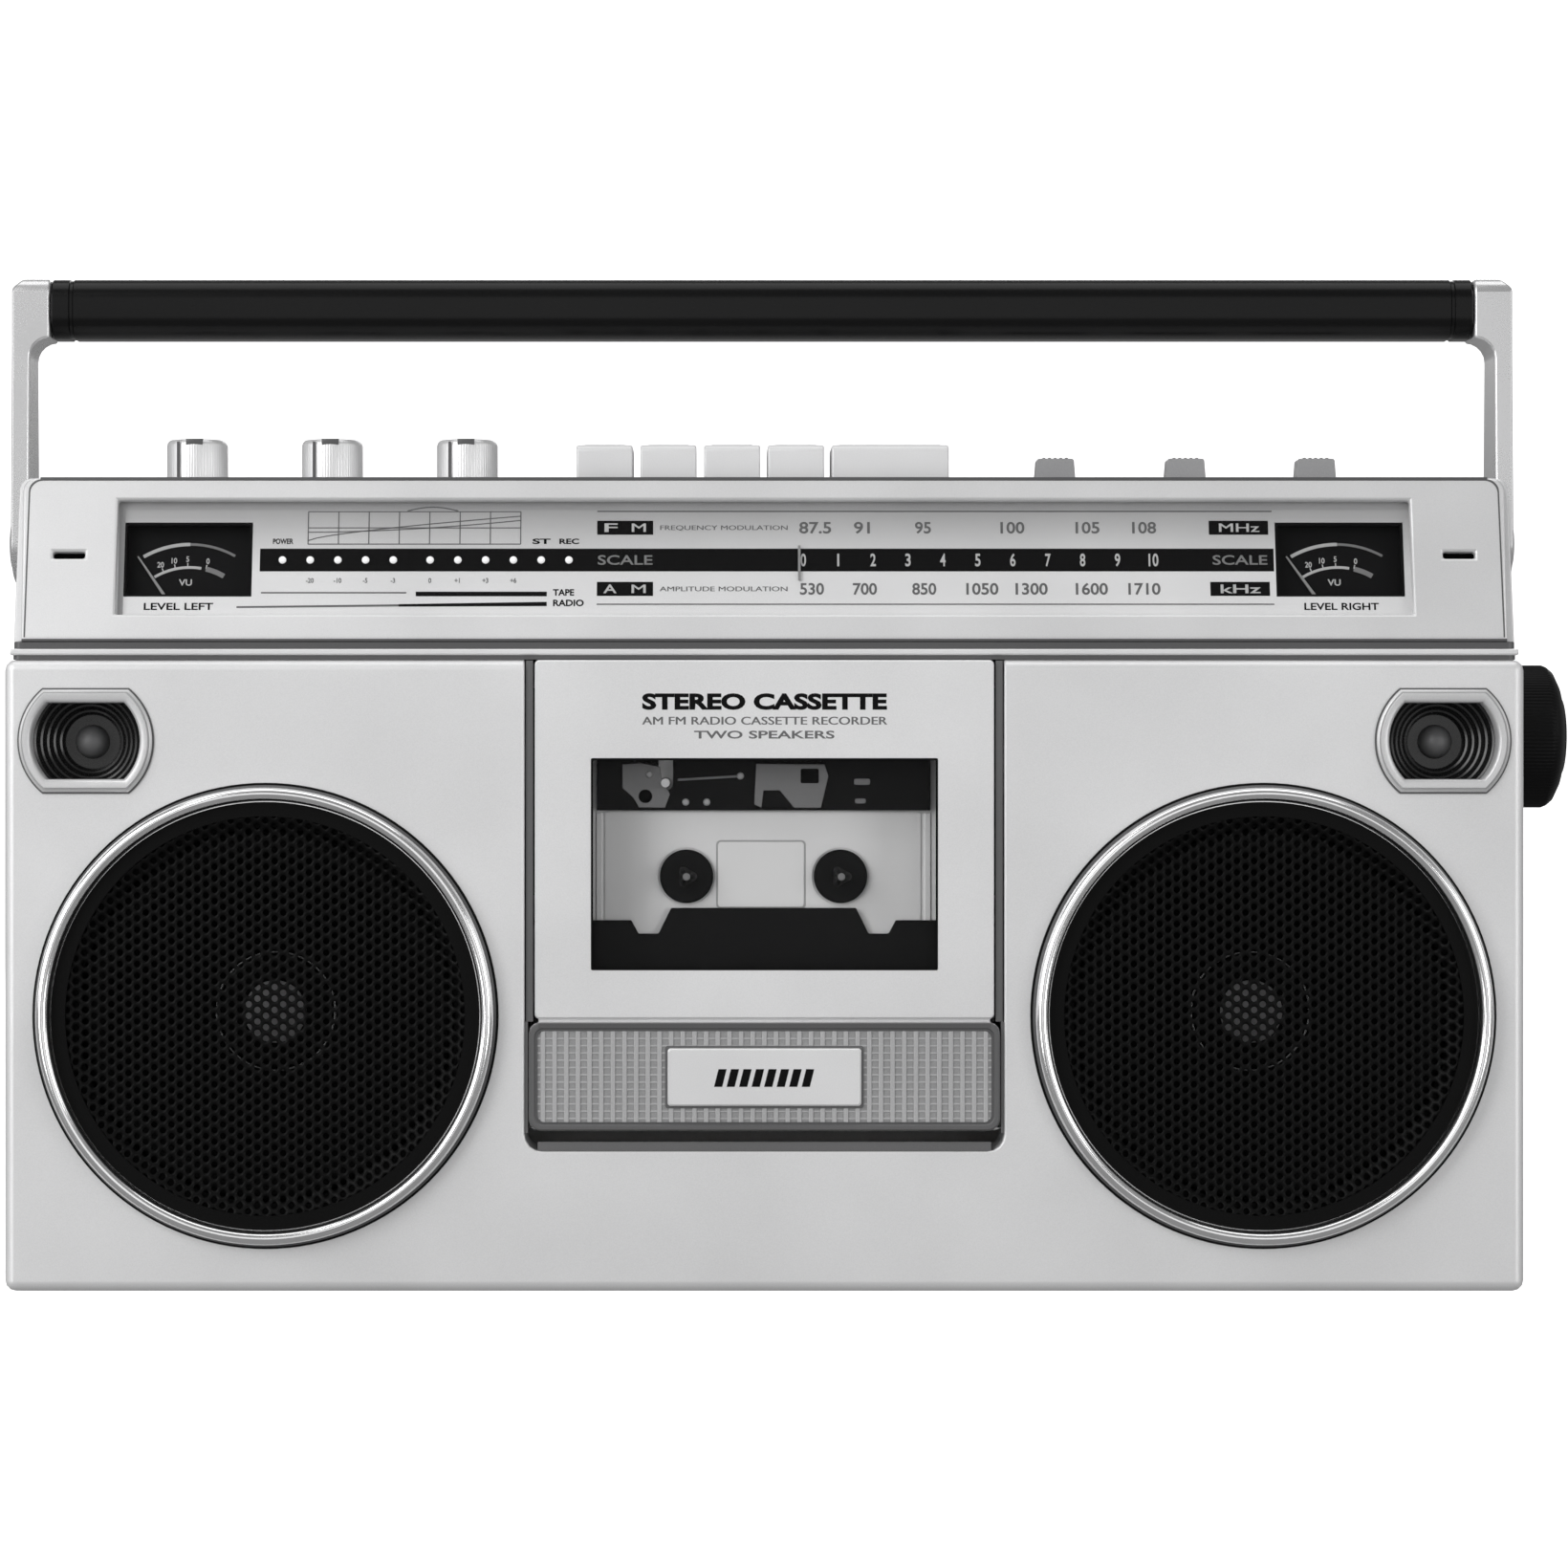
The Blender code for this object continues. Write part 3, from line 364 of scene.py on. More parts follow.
def finish(name, slot, colour, roughness, metallic=0.0, grain=0.5, speck=0.06, relief=0.1, gloss=0.06,
           stretch=(1, 1, 1), cloud=0.04, specular=0.5, painted_shade=None, opacity=1.0, glow=0.0):
    """A principled shader whose tone, gloss and relief vary with a fine grain of a size in millimetres.

    A colour is red, green and blue, or a grey and its blue. A painted shade darkens the tone with height:
    its lowest and highest height in metres, and the share of the tone left there.
    """
    colour = (colour[0], *colour[-2:])
    look = bpy.data.materials.new(name)
    look.use_nodes = True
    look["slot"] = slot
    nodes, links = look.node_tree.nodes, look.node_tree.links

    def fill(node, **inputs):
        for key, value in inputs.items():
            socket = node.inputs[key.replace("_", " ")]
            if isinstance(value, bpy.types.NodeSocket):
                links.new(value, socket)
            else:
                socket.default_value = value

    def add(kind, *setting, **inputs):
        """The outputs of a new node with one setting. Its inputs are values or other nodes' outputs."""
        node = nodes.new("ShaderNode" + kind)
        if setting:
            setattr(node, *setting)
        fill(node, **inputs)
        return node.outputs

    place = add("TexCoord")["Object"]
    stretched = add("Mapping", Vector=place, Scale=stretch)["Vector"]
    fine = add("TexNoise", Vector=stretched, Scale=1 / (grain * MM), Detail=3)["Fac"]
    broad = add("TexNoise", Vector=place, Scale=1 / (45 * MM), Detail=2)["Fac"]
    change = speck + cloud
    mixed = add("Mix", Factor=cloud / change, A=fine, B=broad)["Result"]
    level = add("MapRange", Value=mixed, From_Min=0.3, From_Max=0.7)["Result"]
    darker = (*(max(0, c * (1 - change)) for c in colour), 1)
    lighter = (*(min(1, c * (1 + change)) for c in colour), 1)
    tone = add("Mix", "data_type", "RGBA", Factor=level, A=darker, B=lighter)["Result"]
    # Painted shade: the tone darkens between two heights, standing in for shade that falls from above
    if painted_shade:
        start, end, share = painted_shade
        height = add("SeparateXYZ", Vector=place)["Z"]
        left = add("MapRange", Value=height, From_Min=start, From_Max=end, To_Min=1, To_Max=share)["Result"]
        tone = add("VectorMath", "operation", "SCALE", Vector=tone, Scale=left)["Vector"]
    smooth, dull = max(0.02, roughness - gloss), min(1, roughness + gloss)
    dullness = add("MapRange", Value=mixed, To_Min=smooth, To_Max=dull)["Result"]
    shader = nodes["Principled BSDF"]
    fill(shader, Base_Color=tone, Roughness=dullness, Metallic=metallic, Alpha=opacity)
    fill(shader, Specular_IOR_Level=specular)
    if glow:
        fill(shader, Emission_Color=(1, 1, 1, 1), Emission_Strength=glow)
    if relief:
        fill(shader, Normal=add("Bump", Strength=relief, Distance=grain * MM * 0.4, Height=fine)["Normal"])
    return look


SILVER = dict(metallic=0.35, grain=0.28, speck=0.035, relief=0.06, gloss=0.05)
DARK = dict(speck=0.25, specular=0.08)
PLATED = dict(metallic=1.0, grain=3.0, speck=0.02, relief=0.0, cloud=0.01)
GLASSY = dict(grain=2, speck=0.01, relief=0.0, gloss=0.02)
# Painted shade on the dial plate: the tone falls to half between 20 and 39 mm up the tuner panel
DIAL_PAINTED_SHADE = (*((TUNER @ Vector((0, y, 0))).z for y in (20, 39)), 0.5)
LOOKS = {
    "face": finish("face_paint", "silver_face", (0.8, 0.805), 0.4, **SILVER),
    # A darker copy of the face paint for the tilted tuner panel: painted shade
    "panel": finish("face_paint_painted_shade", "silver_face", (0.75, 0.755), 0.4, **SILVER),
    "body": finish("body_paint", "silver_body", (0.78, 0.785), 0.42, **SILVER),
    "bezel": finish("bezel_paint", "silver_trim", (0.66, 0.665), 0.36, **SILVER),
    "key": finish("key_plastic", "key", (0.72, 0.725), 0.36, 0.1, 0.28, 0.03, 0.05),
    "arm": finish("arm_metal", "silver_trim", (0.66, 0.665), 0.28, 0.7, 0.28, 0.02, 0.015),
    "knob": finish("knob_metal", "knob_silver", (0.78, 0.785), 0.34, 0.5, 0.3, 0.02, 0.02,
                   stretch=(1, 1, 0.05)),
    "chrome": finish("chrome_plate", "chrome", (0.93, 0.935), 0.07, gloss=0.02, **PLATED),
    "ring": finish("ring_plate", "chrome", (0.86, 0.865), 0.17, gloss=0.03, **PLATED),
    "steel": finish("steel_plate", "steel", (0.62, 0.63), 0.34, 1.0, 0.4, 0.06, 0.08, stretch=(0.1, 1, 1)),
    "black": finish("black_plastic", "black", (0.006, 0.0062), 0.4, grain=0.35, relief=0.12, **DARK),
    # Near-black for the insides of holes, slots, vents and dents: painted shade
    "recess": finish("painted_recess_shade", "black", (0.002, 0.002), 0.9, **DARK),
    "grille": finish("grille_paint", "grille", (0.004, 0.004), 0.4, grain=0.4, relief=0.05, **DARK),
    "paper": finish("cone_paper", "cone", (0.006, 0.006), 0.8, grain=0.8, relief=0.4, **DARK),
    "horn": finish("horn_plastic", "cone", (0.009, 0.0092), 0.26, relief=0.03, speck=0.2, specular=0.6),
    "cap": finish("dust_cap", "cone", (0.3, 0.305), 0.5, 0.2, 0.5, 0.1, 0.05),
    "bead": finish("cap_bead", "cone", (0.2, 0.202), 0.25, 1.0, 0.5, 0.1, 0.05),
    "rubber": finish("soft_rubber", "rubber", (0.012, 0.012), 0.75, relief=0.3, **DARK),
    "grip": finish("grip_vinyl", "grip", (0.003, 0.0031), 0.25, grain=0.45, relief=0.08, speck=0.25,
                   specular=0.22),
    "grey": finish("switch_plastic", "grey", (0.3, 0.305), 0.45, 0, 0.3, 0.08, 0.08),
    "dial": finish("dial_silver_with_painted_shade", "dial", (0.86, 0.865), 0.42, 0.1, 0.25, 0.03, 0.03, painted_shade=DIAL_PAINTED_SHADE),
    # Grey ink, also used for the painted shadow on the dial plate
    "band": finish("band_ink_and_painted_shade", "grey", (0.4, 0.405), 0.45, 0.2, 0.25, 0.05, 0.03),
    # Dark ink for marks, also painted shade in the neck grooves and on the speaker rings, and a painted
    # reflection on the bezel's top edge
    "edge": finish("dark_ink_and_painted_shade", "grey", (0.1, 0.102), 0.4, 0.3, 0.25, 0.08, 0.03),
    # Dark grey rim paint, also used for the painted shade in the gaps beside the door
    "rim": finish("rim_paint_and_painted_gap_shade", "grey", (0.13, 0.132), 0.4, 0.3, 0.3, 0.06, 0.05),
    # Dark grey paint, also the painted shade on the well's ledge
    "ledge": finish("grey_paint_and_painted_ledge_shade", "grey", (0.125, 0.127), 0.5, 0.2, 0.3, 0.06, 0.05),
    "ink": finish("black_ink", "black", (0.004, 0.0042), 0.5, grain=0.2, relief=0.02, **DARK),
    "grey_ink": finish("grey_ink", "grey", (0.13, 0.132), 0.5, 0, 0.2, 0.08, 0.02),
    "pale_ink": finish("pale_ink", "pointer", (0.55, 0.55), 0.5, 0, 0.2, 0.05, 0.02),
    "meter": finish("meter_face", "black", (0.006, 0.0065), 0.5, grain=0.3, relief=0.03, **DARK),
    "meter_ink": finish("meter_ink", "pointer", (0.22, 0.22), 0.5, 0, 0.2, 0.05, 0.02),
    "needle": finish("needle_paint", "needle", (0.3, 0.3), 0.4, 0, 0.3, 0.05, 0.02),
    "lamp": finish("lamp_lens", "pointer", (0.9, 0.9), 0.2, 0, 0.5, 0.02, 0.0, glow=0.35),
    "mesh": finish("mesh_silver", "silver_trim", (0.47, 0.475), 0.42, 0.3, 0.25, 0.06, 0.06),
    "mesh_back": finish("mesh_back", "grey", (0.33, 0.333), 0.5, 0.2, 0.3, 0.08, 0.05),
    "deck": finish("deck_plate", "steel", (0.95, 0.955), 0.45, 0.0, 0.3, 0.03, 0.05),
    "deck_pale": finish("deck_pale", "steel", (0.99, 0.99), 0.4, 0.0, 0.3, 0.02, 0.04),
    "bracket": finish("zinc_bracket", "steel", (0.24, 0.243), 0.4, 0.5, 0.4, 0.1, 0.08),
    "clear": finish("clear_plastic", "clear", (0.02, 0.02), 0.05, opacity=0.04, **GLASSY),
    "smoked": finish("window_plastic", "smoked", (0.01, 0.01), 0.05, opacity=0.06, **GLASSY),
    "board": finish("circuit_board", "board", (0.1, 0.28, 0.14), 0.5, 0, 0.8, 0.12, 0.05),
}

# ---- pieces

def make(name, shape, look, body="cabinet", where=CABINET, at=(0, 0, 0), stands_for=(), bevel=0.0, sharp=35,
         clean=False):
    """One piece from one or several shapes in millimetres, at a place, riding on a body of the frame."""
    if isinstance(shape, list):
        shape = together(shape)
    bmesh.ops.transform(shape, matrix=where @ Matrix.Translation(at), verts=shape.verts)
    if clean:
        bmesh.ops.remove_doubles(shape, verts=shape.verts, dist=2e-6)
        bmesh.ops.dissolve_limit(shape, angle_limit=math.radians(0.5), verts=shape.verts, edges=shape.edges)
    mesh = as_mesh(shape, name)
    mesh.shade_smooth()
    mesh.set_sharp_from_angle(angle=math.radians(sharp))
    mesh.materials.append(LOOKS[look])
    made = linked(name, mesh)
    if bevel:
        edge = made.modifiers.new("edge", "BEVEL")
        edge.width = bevel * MM
        edge.segments = 2
        edge.limit_method = "ANGLE"
        edge.angle_limit = math.radians(40)
        edge.use_clamp_overlap = False
        shading = made.modifiers.new("shading", "WEIGHTED_NORMAL")
        shading.keep_sharp = True
    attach(made, body)
    if stands_for:
        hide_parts(*stands_for)
    return made


def putter(word, at):
    """A short form of make, for one side's pieces around a place."""
    def put(name, shape, look, **more):
        return make(f"{name}_{word}", shape, look, at=at, **more)
    return put


def refined(node, look, bevel=0.4):
    """The CAD node's own shape, with flat faces made whole and its edges softened."""
    source = frame["nodes"][node]
    shape = bmesh.new()
    shape.from_mesh(source.data)
    make(node + "_fine", shape, look, source["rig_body"], Matrix.Identity(4), stands_for=(node,), bevel=bevel,
         clean=True)


def paint(node, look):
    """A CAD node that stays as it is, with a finer material."""
    target = frame["nodes"][node]
    target.data.materials.clear()
    target.data.materials.append(LOOKS[look])


def carve(piece, cutters):
    """Cuts shapes in millimetres of the cabinet's frame out of a piece."""
    cutter = together(cutters)
    bmesh.ops.transform(cutter, matrix=CABINET, verts=cutter.verts)
    tool = linked("cutter", as_mesh(cutter, "cutter"))
    step = piece.modifiers.new("cut", "BOOLEAN")
    step.operation = "DIFFERENCE"
    step.object = tool
    bpy.context.view_layer.update()
    carved = bpy.data.meshes.new_from_object(piece.evaluated_get(bpy.context.evaluated_depsgraph_get()))
    piece.modifiers.clear()
    piece.data = carved
    bpy.data.objects.remove(tool)


# ---- cabinet

NECK_HALF, NECK_FRONT, NECK_BACK = 204.0, 3.0, 117.0
WELL_HALF, WELL_FLOOR = 65.3, 39.7
PANEL_HALF = 62.4
KEYS = {"record_key": "RECORD", "play_key": "PLAY", "rewind_key": "REWIND", "forward_key": "FORWARD",
        "stop_eject_key": "STOP   EJECT"}
KNOBS = {"volume_knob": ("VOLUME", "MIN", "MAX"), "tone_knob": ("TONE", "MIN", "MAX"),
         "balance_knob": ("BALANCE", "L", "R")}
SWITCHES = {"function_switch": ("FUNCTION", "TAPE", "RADIO"), "band_switch": ("BAND", "AM", "FM"),
            "mode_switch": ("MODE", "MONO", "STEREO")}


def build_cabinet():
    for name in ("front_cabinet", "rear_cabinet", "top_panel"):
        refined(name, "body", 0.45)
    for name in ("foot_front", "foot_rear"):
        refined(name, "rubber", 0.2)
    # Dark strips in the two neck grooves: painted shade
    for name, out, low, high in (("low", 0.9, 173.62, 174.78), ("high", 0.7, 176.52, 178.38)):
        corners = (-NECK_HALF - out, NECK_FRONT - out), (NECK_HALF + out, NECK_BACK + out)
        make(f"groove_shade_strip_{name}", box_band(*corners, out + 1, (2, 1), "Z", low, high), "edge")
    # The sloped ledge under the door's strip is real; its dark grey is painted shade from the strip above
    lip = [(0.35, -0.4), (0.35, 2.3), (0.55, 2.6), (1, 2.4), (2, 1.6), (3.3, 0.8), (19.4, 0.8), (19.4, -0.4)]
    make("well_ledge", prism(lip, "X", -WELL_HALF + 3.6, WELL_HALF - 3.6), "ledge", at=(0, 0, WELL_FLOOR))
    for side, word in SIDES:
        # Dark grey sheets in the gaps beside the door and its strip: painted shade of the gaps
        gap_shade = [side_block(side, PANEL_HALF + 0.6, WELL_HALF - 0.4, (1.2, 35.3), (3.5, 133.6)),
                 side_block(side, WELL_HALF - 0.9, WELL_HALF - 0.1, (0.5, 5), (3.5, 35.3))]
        make(f"well_gap_shade_{word}", gap_shade, "rim", at=(0, 0, WELL_FLOOR))
        make(f"seam_line_{word}", side_block(side, 206.97, 207.03, (57.9, 6), (58.4, 172)), "ink")


def build_top_print():
    """Generic words and ticks around the knobs and switches, and a dark frame around the keys."""
    prints = [words(word, middle(name).x, 31, 1.7) for name, word in KEYS.items()]
    for name, (word, *ends) in (KNOBS | SWITCHES).items():
        at = middle(name)
        away, level = (9.5, 40.5) if name in KNOBS else (8, 47)
        prints.append(words(word, at.x, 28, 2.6))
        prints += [words(end, at.x + side * away, level, 1.7) for side, end in zip((-1, 1), ends)]
        if name in KNOBS:
            prints += [ray(at.xy, 27 * k - 45, 10.6, 12.2 if k % 5 else 13) for k in range(11)]
        else:
            plate = band(round_box((-11.5, -4.9), (11.5, 4.9), 1.2), round_box((-6.4, -1.6), (6.4, 1.6), 0.1),
                         "Z", 0, 0.22)
            make(f"{name}_plate", plate, "black", at=(at.x, at.y, TOP), bevel=0.06)
    make("top_print", prints, "ink", at=(0, 0, TOP))
    key_frame = box_band((-55.3, 34.7), (55.3, 64.9), 2, (1.6, 0.6), "Z", 0, 0.7)
    make("key_frame", key_frame, "black", at=(0, 0, TOP), bevel=0.15)


# ---- tuner panel

DIAL_FACE = reach("dial_plate", TUNER)[1].z
DIAL_LEFT, DIAL_RIGHT = -177.0, 177.0
BAND_LEFT, BAND_RIGHT = -138.3, 139.9
BAND_LOW, BAND_HIGH = 21.0, 27.5
BAND_MIDDLE = (BAND_LOW + BAND_HIGH) / 2
SCALE_START, SCALE_STEP = 10.8, 9.58
FM_MARKS = {"87.5": 14.2, "91": 27.4, "95": 43.8, "100": 67.9, "105": 88.6, "108": 104.1}
AM_MARKS = {"530": 13.1, "700": 27.6, "850": 43.9, "1050": 59.4, "1300": 72.9, "1600": 89.4, "1710": 103.8}
FM_LEVEL, AM_LEVEL = 33.5, 16.0
LAMP_XS = [-132.1 + 7.6 * i for i in range(5)] + [-91.6 + 7.62 * i for i in range(6)]


def dial_ink():
    """Black, grey, pale and dim prints on the dial plate, each as one list of thin shapes."""
    black = [bar(BAND_LEFT, BAND_LOW, BAND_RIGHT, BAND_HIGH)]
    grey = [bar(-45.8, 38.0, 139.7, 38.4), bar(-45.8, 11.45, 139.7, 11.8)]
    pale = []
    for level, unit, name, title, marks in ((FM_LEVEL, "MHz", "FM", "FREQUENCY MODULATION", FM_MARKS),
                                            (AM_LEVEL, "kHz", "AM", "AMPLITUDE MODULATION", AM_MARKS)):
        black += [bar(-45.8, level - 2, -30.4, level + 2), bar(122.3, level - 2, 138.6, level + 2)]
        pale += [words(text, x, level, 2.4, width)
                 for text, x, width in ((name[0], -42.2, 3.6), (name[1], -34.4, 3.8), (unit, 130.4, 11))]
        grey.append(words(title, -11, level, 1.3, 35))
        grey += [words(text, x, level, 3.1, 2.2 * len(text), 0.02) for text, x in marks.items()]
    for number in range(11):
        width = {1: 0.55, 10: 2.7}.get(number, 1.5)
        pale.append(words(str(number), SCALE_START + SCALE_STEP * number, BAND_MIDDLE, 3.4, width, 0.02))
    return black, grey, pale, [words("SCALE", x, BAND_MIDDLE, 2.6, 15) for x in (-38.1, 130.6)]


def chart_ink():
    """The small printed chart of sound level, and the lines and words around the lamps."""
    left, right, low, high = -125.2, -66.8, 28.8, 38.1
    across, up = right - left, high - low
    columns = [left + across * i / 7 for i in range(8)]
    rows = [low + up * k / 2 for k in range(3)]
    grey = [bar(x - 0.15, low, x + 0.15, high) for x in columns]
    grey += [bar(left, y - 0.15, right, y + 0.15) for y in rows]
    for base, rise, bend in ((1, 7, 0.7), (3.4, 3.4, 1.8)):
        shares = [t / 24 for t in range(25)]
        grey += strokes([(left + across * share, low + base + rise * share ** bend) for share in shares], 0.3)
    grey += strokes([(-98 + 14 * t / 12, 38.3 + 1.1 * math.sin(t / 12 * math.pi)) for t in range(13)], 0.35)
    grey += [bar(-137.8, 14.7, -98.0, 15.1), stroke((-144.4, 10.8), (-100, 11.3), 0.5, 0.6)]
    marks = ("-20", "-10", "-5", "-3", "0", "+1", "+3", "+6")
    grey += [words(text, x, 18.4, 1.3, weight=0.02) for text, x in zip(marks, LAMP_XS[1:9])]
    black = [bar(-95.4, 13.9, -59.5, 15.2), stroke((-100, 11.3), (-59.5, 11.7), 0.7, 1.2)]
    black += [words(*row) for row in (
        ("POWER", LAMP_XS[0], 29.6, 1.4, 5.6, 0.03), ("ST", LAMP_XS[9], 29.6, 1.4, 5, 0.03),
        ("REC", LAMP_XS[10], 29.6, 1.4, 5.4, 0.03), ("TAPE", -54.9, 15.0, 1.7, 5.8, 0.03),
        ("RADIO", -53.6, 12.0, 1.7, 8.4, 0.03), ("LEVEL LEFT", -160.4, 11.0, 1.9, 19, 0.02),
        ("LEVEL RIGHT", 158, 11.0, 1.9, 20.4, 0.02))]
    return black, grey


def on_tuner(name, shape, look, level=0.0):
    make(name, shape, look, where=TUNER, at=(0, 0, level))


def build_meter(word):
    """Meter face, scale and needle behind one window of the dial plate."""
    centre = x, y = pivot(f"needle_{word}_swing", TUNER).xy
    face = reach(f"vu_meter_{word}", TUNER)[0].z + 16
    level = face + 0.25
    refined(f"vu_meter_{word}", "black", 0.2)
    plate = rounded(block((x - 18, y - 1.5, face), (x + 18, y + 30.5, level)), 0.6, "Z")
    on_tuner(f"meter_face_{word}", plate, "meter")
    rim = box_band((x - 17.55, 13.85), (x + 17.55, 34.95), 0.65, (0.4, 0.3), "Z", -1.4, -0.1)
    on_tuner(f"meter_rim_{word}", rim, "black", DIAL_FACE)
    bright = [sweep(centre, 18.2, 80, 122, 0.75), words("VU", x - 1, y + 13.9, 1.7, 3.6, 0.02),
              sweep(centre, 24.8, 90, 121, 0.95)]
    for degrees, digit in ((113, "20"), (102.5, "10"), (91.7, "5"), (76, "0")):
        bright.append(words(digit, *outward(centre, degrees, 20.6), 1.5, weight=0.02))
        bright.append(ray(centre, degrees, 18.4, 19.5))
    on_tuner(f"meter_scale_{word}", bright, "pale_ink", level)
    soft = [sweep(centre, 18.3, 59, 76, 1.4), sweep(centre, 24.8, 60, 90, 0.7)]
    on_tuner(f"meter_zone_{word}", soft, "meter_ink", level)
    refined(f"vu_needle_{word}", "needle", 0.0)


def build_tuner():
    # The tuner bezel gets the darker, shaded copy of the face paint
    refined("tuner_bezel", "panel", 0.7)
    refined("dial_plate", "dial", 0.0)
    refined("dial_lens", "clear", 0.1)
    refined("dial_pointer", "needle", 0.05)
    low, high = reach("tuner_bezel", TUNER)
    # Dark strips along the bezel's top edge and foot; the top one is a painted dark reflection of the rounded
    # top edge
    for name, level, thick, width in (("top", high.y - 0.95, 1.1, 198.8), ("foot", low.y - 0.1, 0.75, 202.4)):
        strip = ridge((-width, level, high.z - 1.6), (width, level + thick, high.z + 0.12), 0.2, "X")
        on_tuner(f"bezel_edge_{name}", strip, "edge")
    seam = [[(width, low.y + 1), *arc((width - 3.5, top), 3.5, 0, 90, 6),
             *arc((3.5 - width, top), 3.5, 90, 180, 6), (-width, low.y + 1)]
            for width, top in ((201.9, high.y - 4), (201.5, high.y - 4.4))]
    on_tuner("bezel_seam", band(*seam, "Z", -0.6, 0.08), "rim", high.z)
    black, grey, pale, dim = dial_ink()
    more_black, more_grey = chart_ink()
    # Painted shadow on the dial plate, below the recess's top edge and beside its left wall
    shade = [bar(DIAL_LEFT, 38.6, DIAL_RIGHT, 40.3), bar(DIAL_LEFT, 8.2, DIAL_LEFT + 1.5, 38.6)]
    on_tuner("dial_shade", shade, "band", DIAL_FACE)
    on_tuner("dial_print_black", black + more_black, "ink", DIAL_FACE)
    on_tuner("dial_print_grey", grey + more_grey, "grey_ink", DIAL_FACE + 0.01)
    on_tuner("dial_print_pale", pale, "pale_ink", DIAL_FACE + PRINT)
    on_tuner("dial_print_dim", dim, "meter_ink", DIAL_FACE + PRINT)
    dome = [(0, 0), (1.05, 0), *oval(0, 0, 1.05, 0.75, [90 * k / 7 for k in range(1, 7)]), (0, 0.75)]
    lamps = [moved(turned(dome, "Z", 20), x, BAND_MIDDLE) for x in LAMP_XS]
    on_tuner("dial_lamps", lamps, "lamp", DIAL_FACE + PRINT)
    for side, word in SIDES:
        build_meter(word)
        # Near-black fills in the microphone slots: painted shade
        slots = [block((-4.2, 23.9 + 0.62 * i, -4.2), (4.2, 24.15 + 0.62 * i, -2.2)) for i in range(3)]
        slots.append(block((-5.5, 22.5, -5.2), (5.5, 27, -4.2)))
        make(f"microphone_{word}", slots, "recess", where=TUNER, at=(side * 190.3, 0, 0))


# ---- speakers

COLUMN, ROW = 2.34, 3.12
HOLE_R = 0.9
SHEET_R = 55.4
CAP_R = 15.6


def grille_height(radius):
    """How far behind the front face the perforated sheet lies at a radius."""
    share = min(1, max(0, (radius - 49.5) / 5))
    return 1.0 - 2.4 * share * share * (3 - 2 * share)


def perforated_sheet():
    """Hexagonal cells around round holes, in staggered columns, as one dished sheet."""
    shape = bmesh.new()
    half = ROW / 2
    tip = (COLUMN ** 2 + half ** 2) / (2 * COLUMN)
    shoulder = COLUMN - tip
    upper = [(tip, 0), (shoulder, half), (-shoulder, half)]
    corners = upper + [(-x, -z) for x, z in upper]
    border = []
    for start, end in zip(corners, corners[1:] + corners[:1]):
        border += [start, ((start[0] + end[0]) / 2, (start[1] + end[1]) / 2)]
    hole = [outward((0, 0), math.degrees(math.atan2(z, x)), HOLE_R) for x, z in border]
    columns, rows = int(SHEET_R / COLUMN) + 1, int(SHEET_R / ROW) + 1
    for i in range(-columns, columns + 1):
        for j in range(-rows, rows + 1):
            x, z = i * COLUMN, j * ROW + (half if i % 2 else 0)
            if math.hypot(x, z) > SHEET_R:
                continue
            rings = []
            for ring in (border, hole):
                points = [(x + px, grille_height(math.hypot(x + px, z + pz)), z + pz) for px, pz in ring]
                rings.append([shape.verts.new(point) for point in points])
            skin(shape, *rings, len(border))
    bmesh.ops.remove_doubles(shape, verts=shape.verts, dist=0.01)
    bmesh.ops.recalc_face_normals(shape, faces=shape.faces)
    if sum(face.normal.y for face in shape.faces) > 0:
        bmesh.ops.reverse_faces(shape, faces=shape.faces)
    return shape


def crowned(level, radii):
    """The profile of a dust cap that bulges forward, out from its tip at a level."""
    return [(radius, level + 4.3 * (radius / CAP_R) ** 2) for radius in radii]


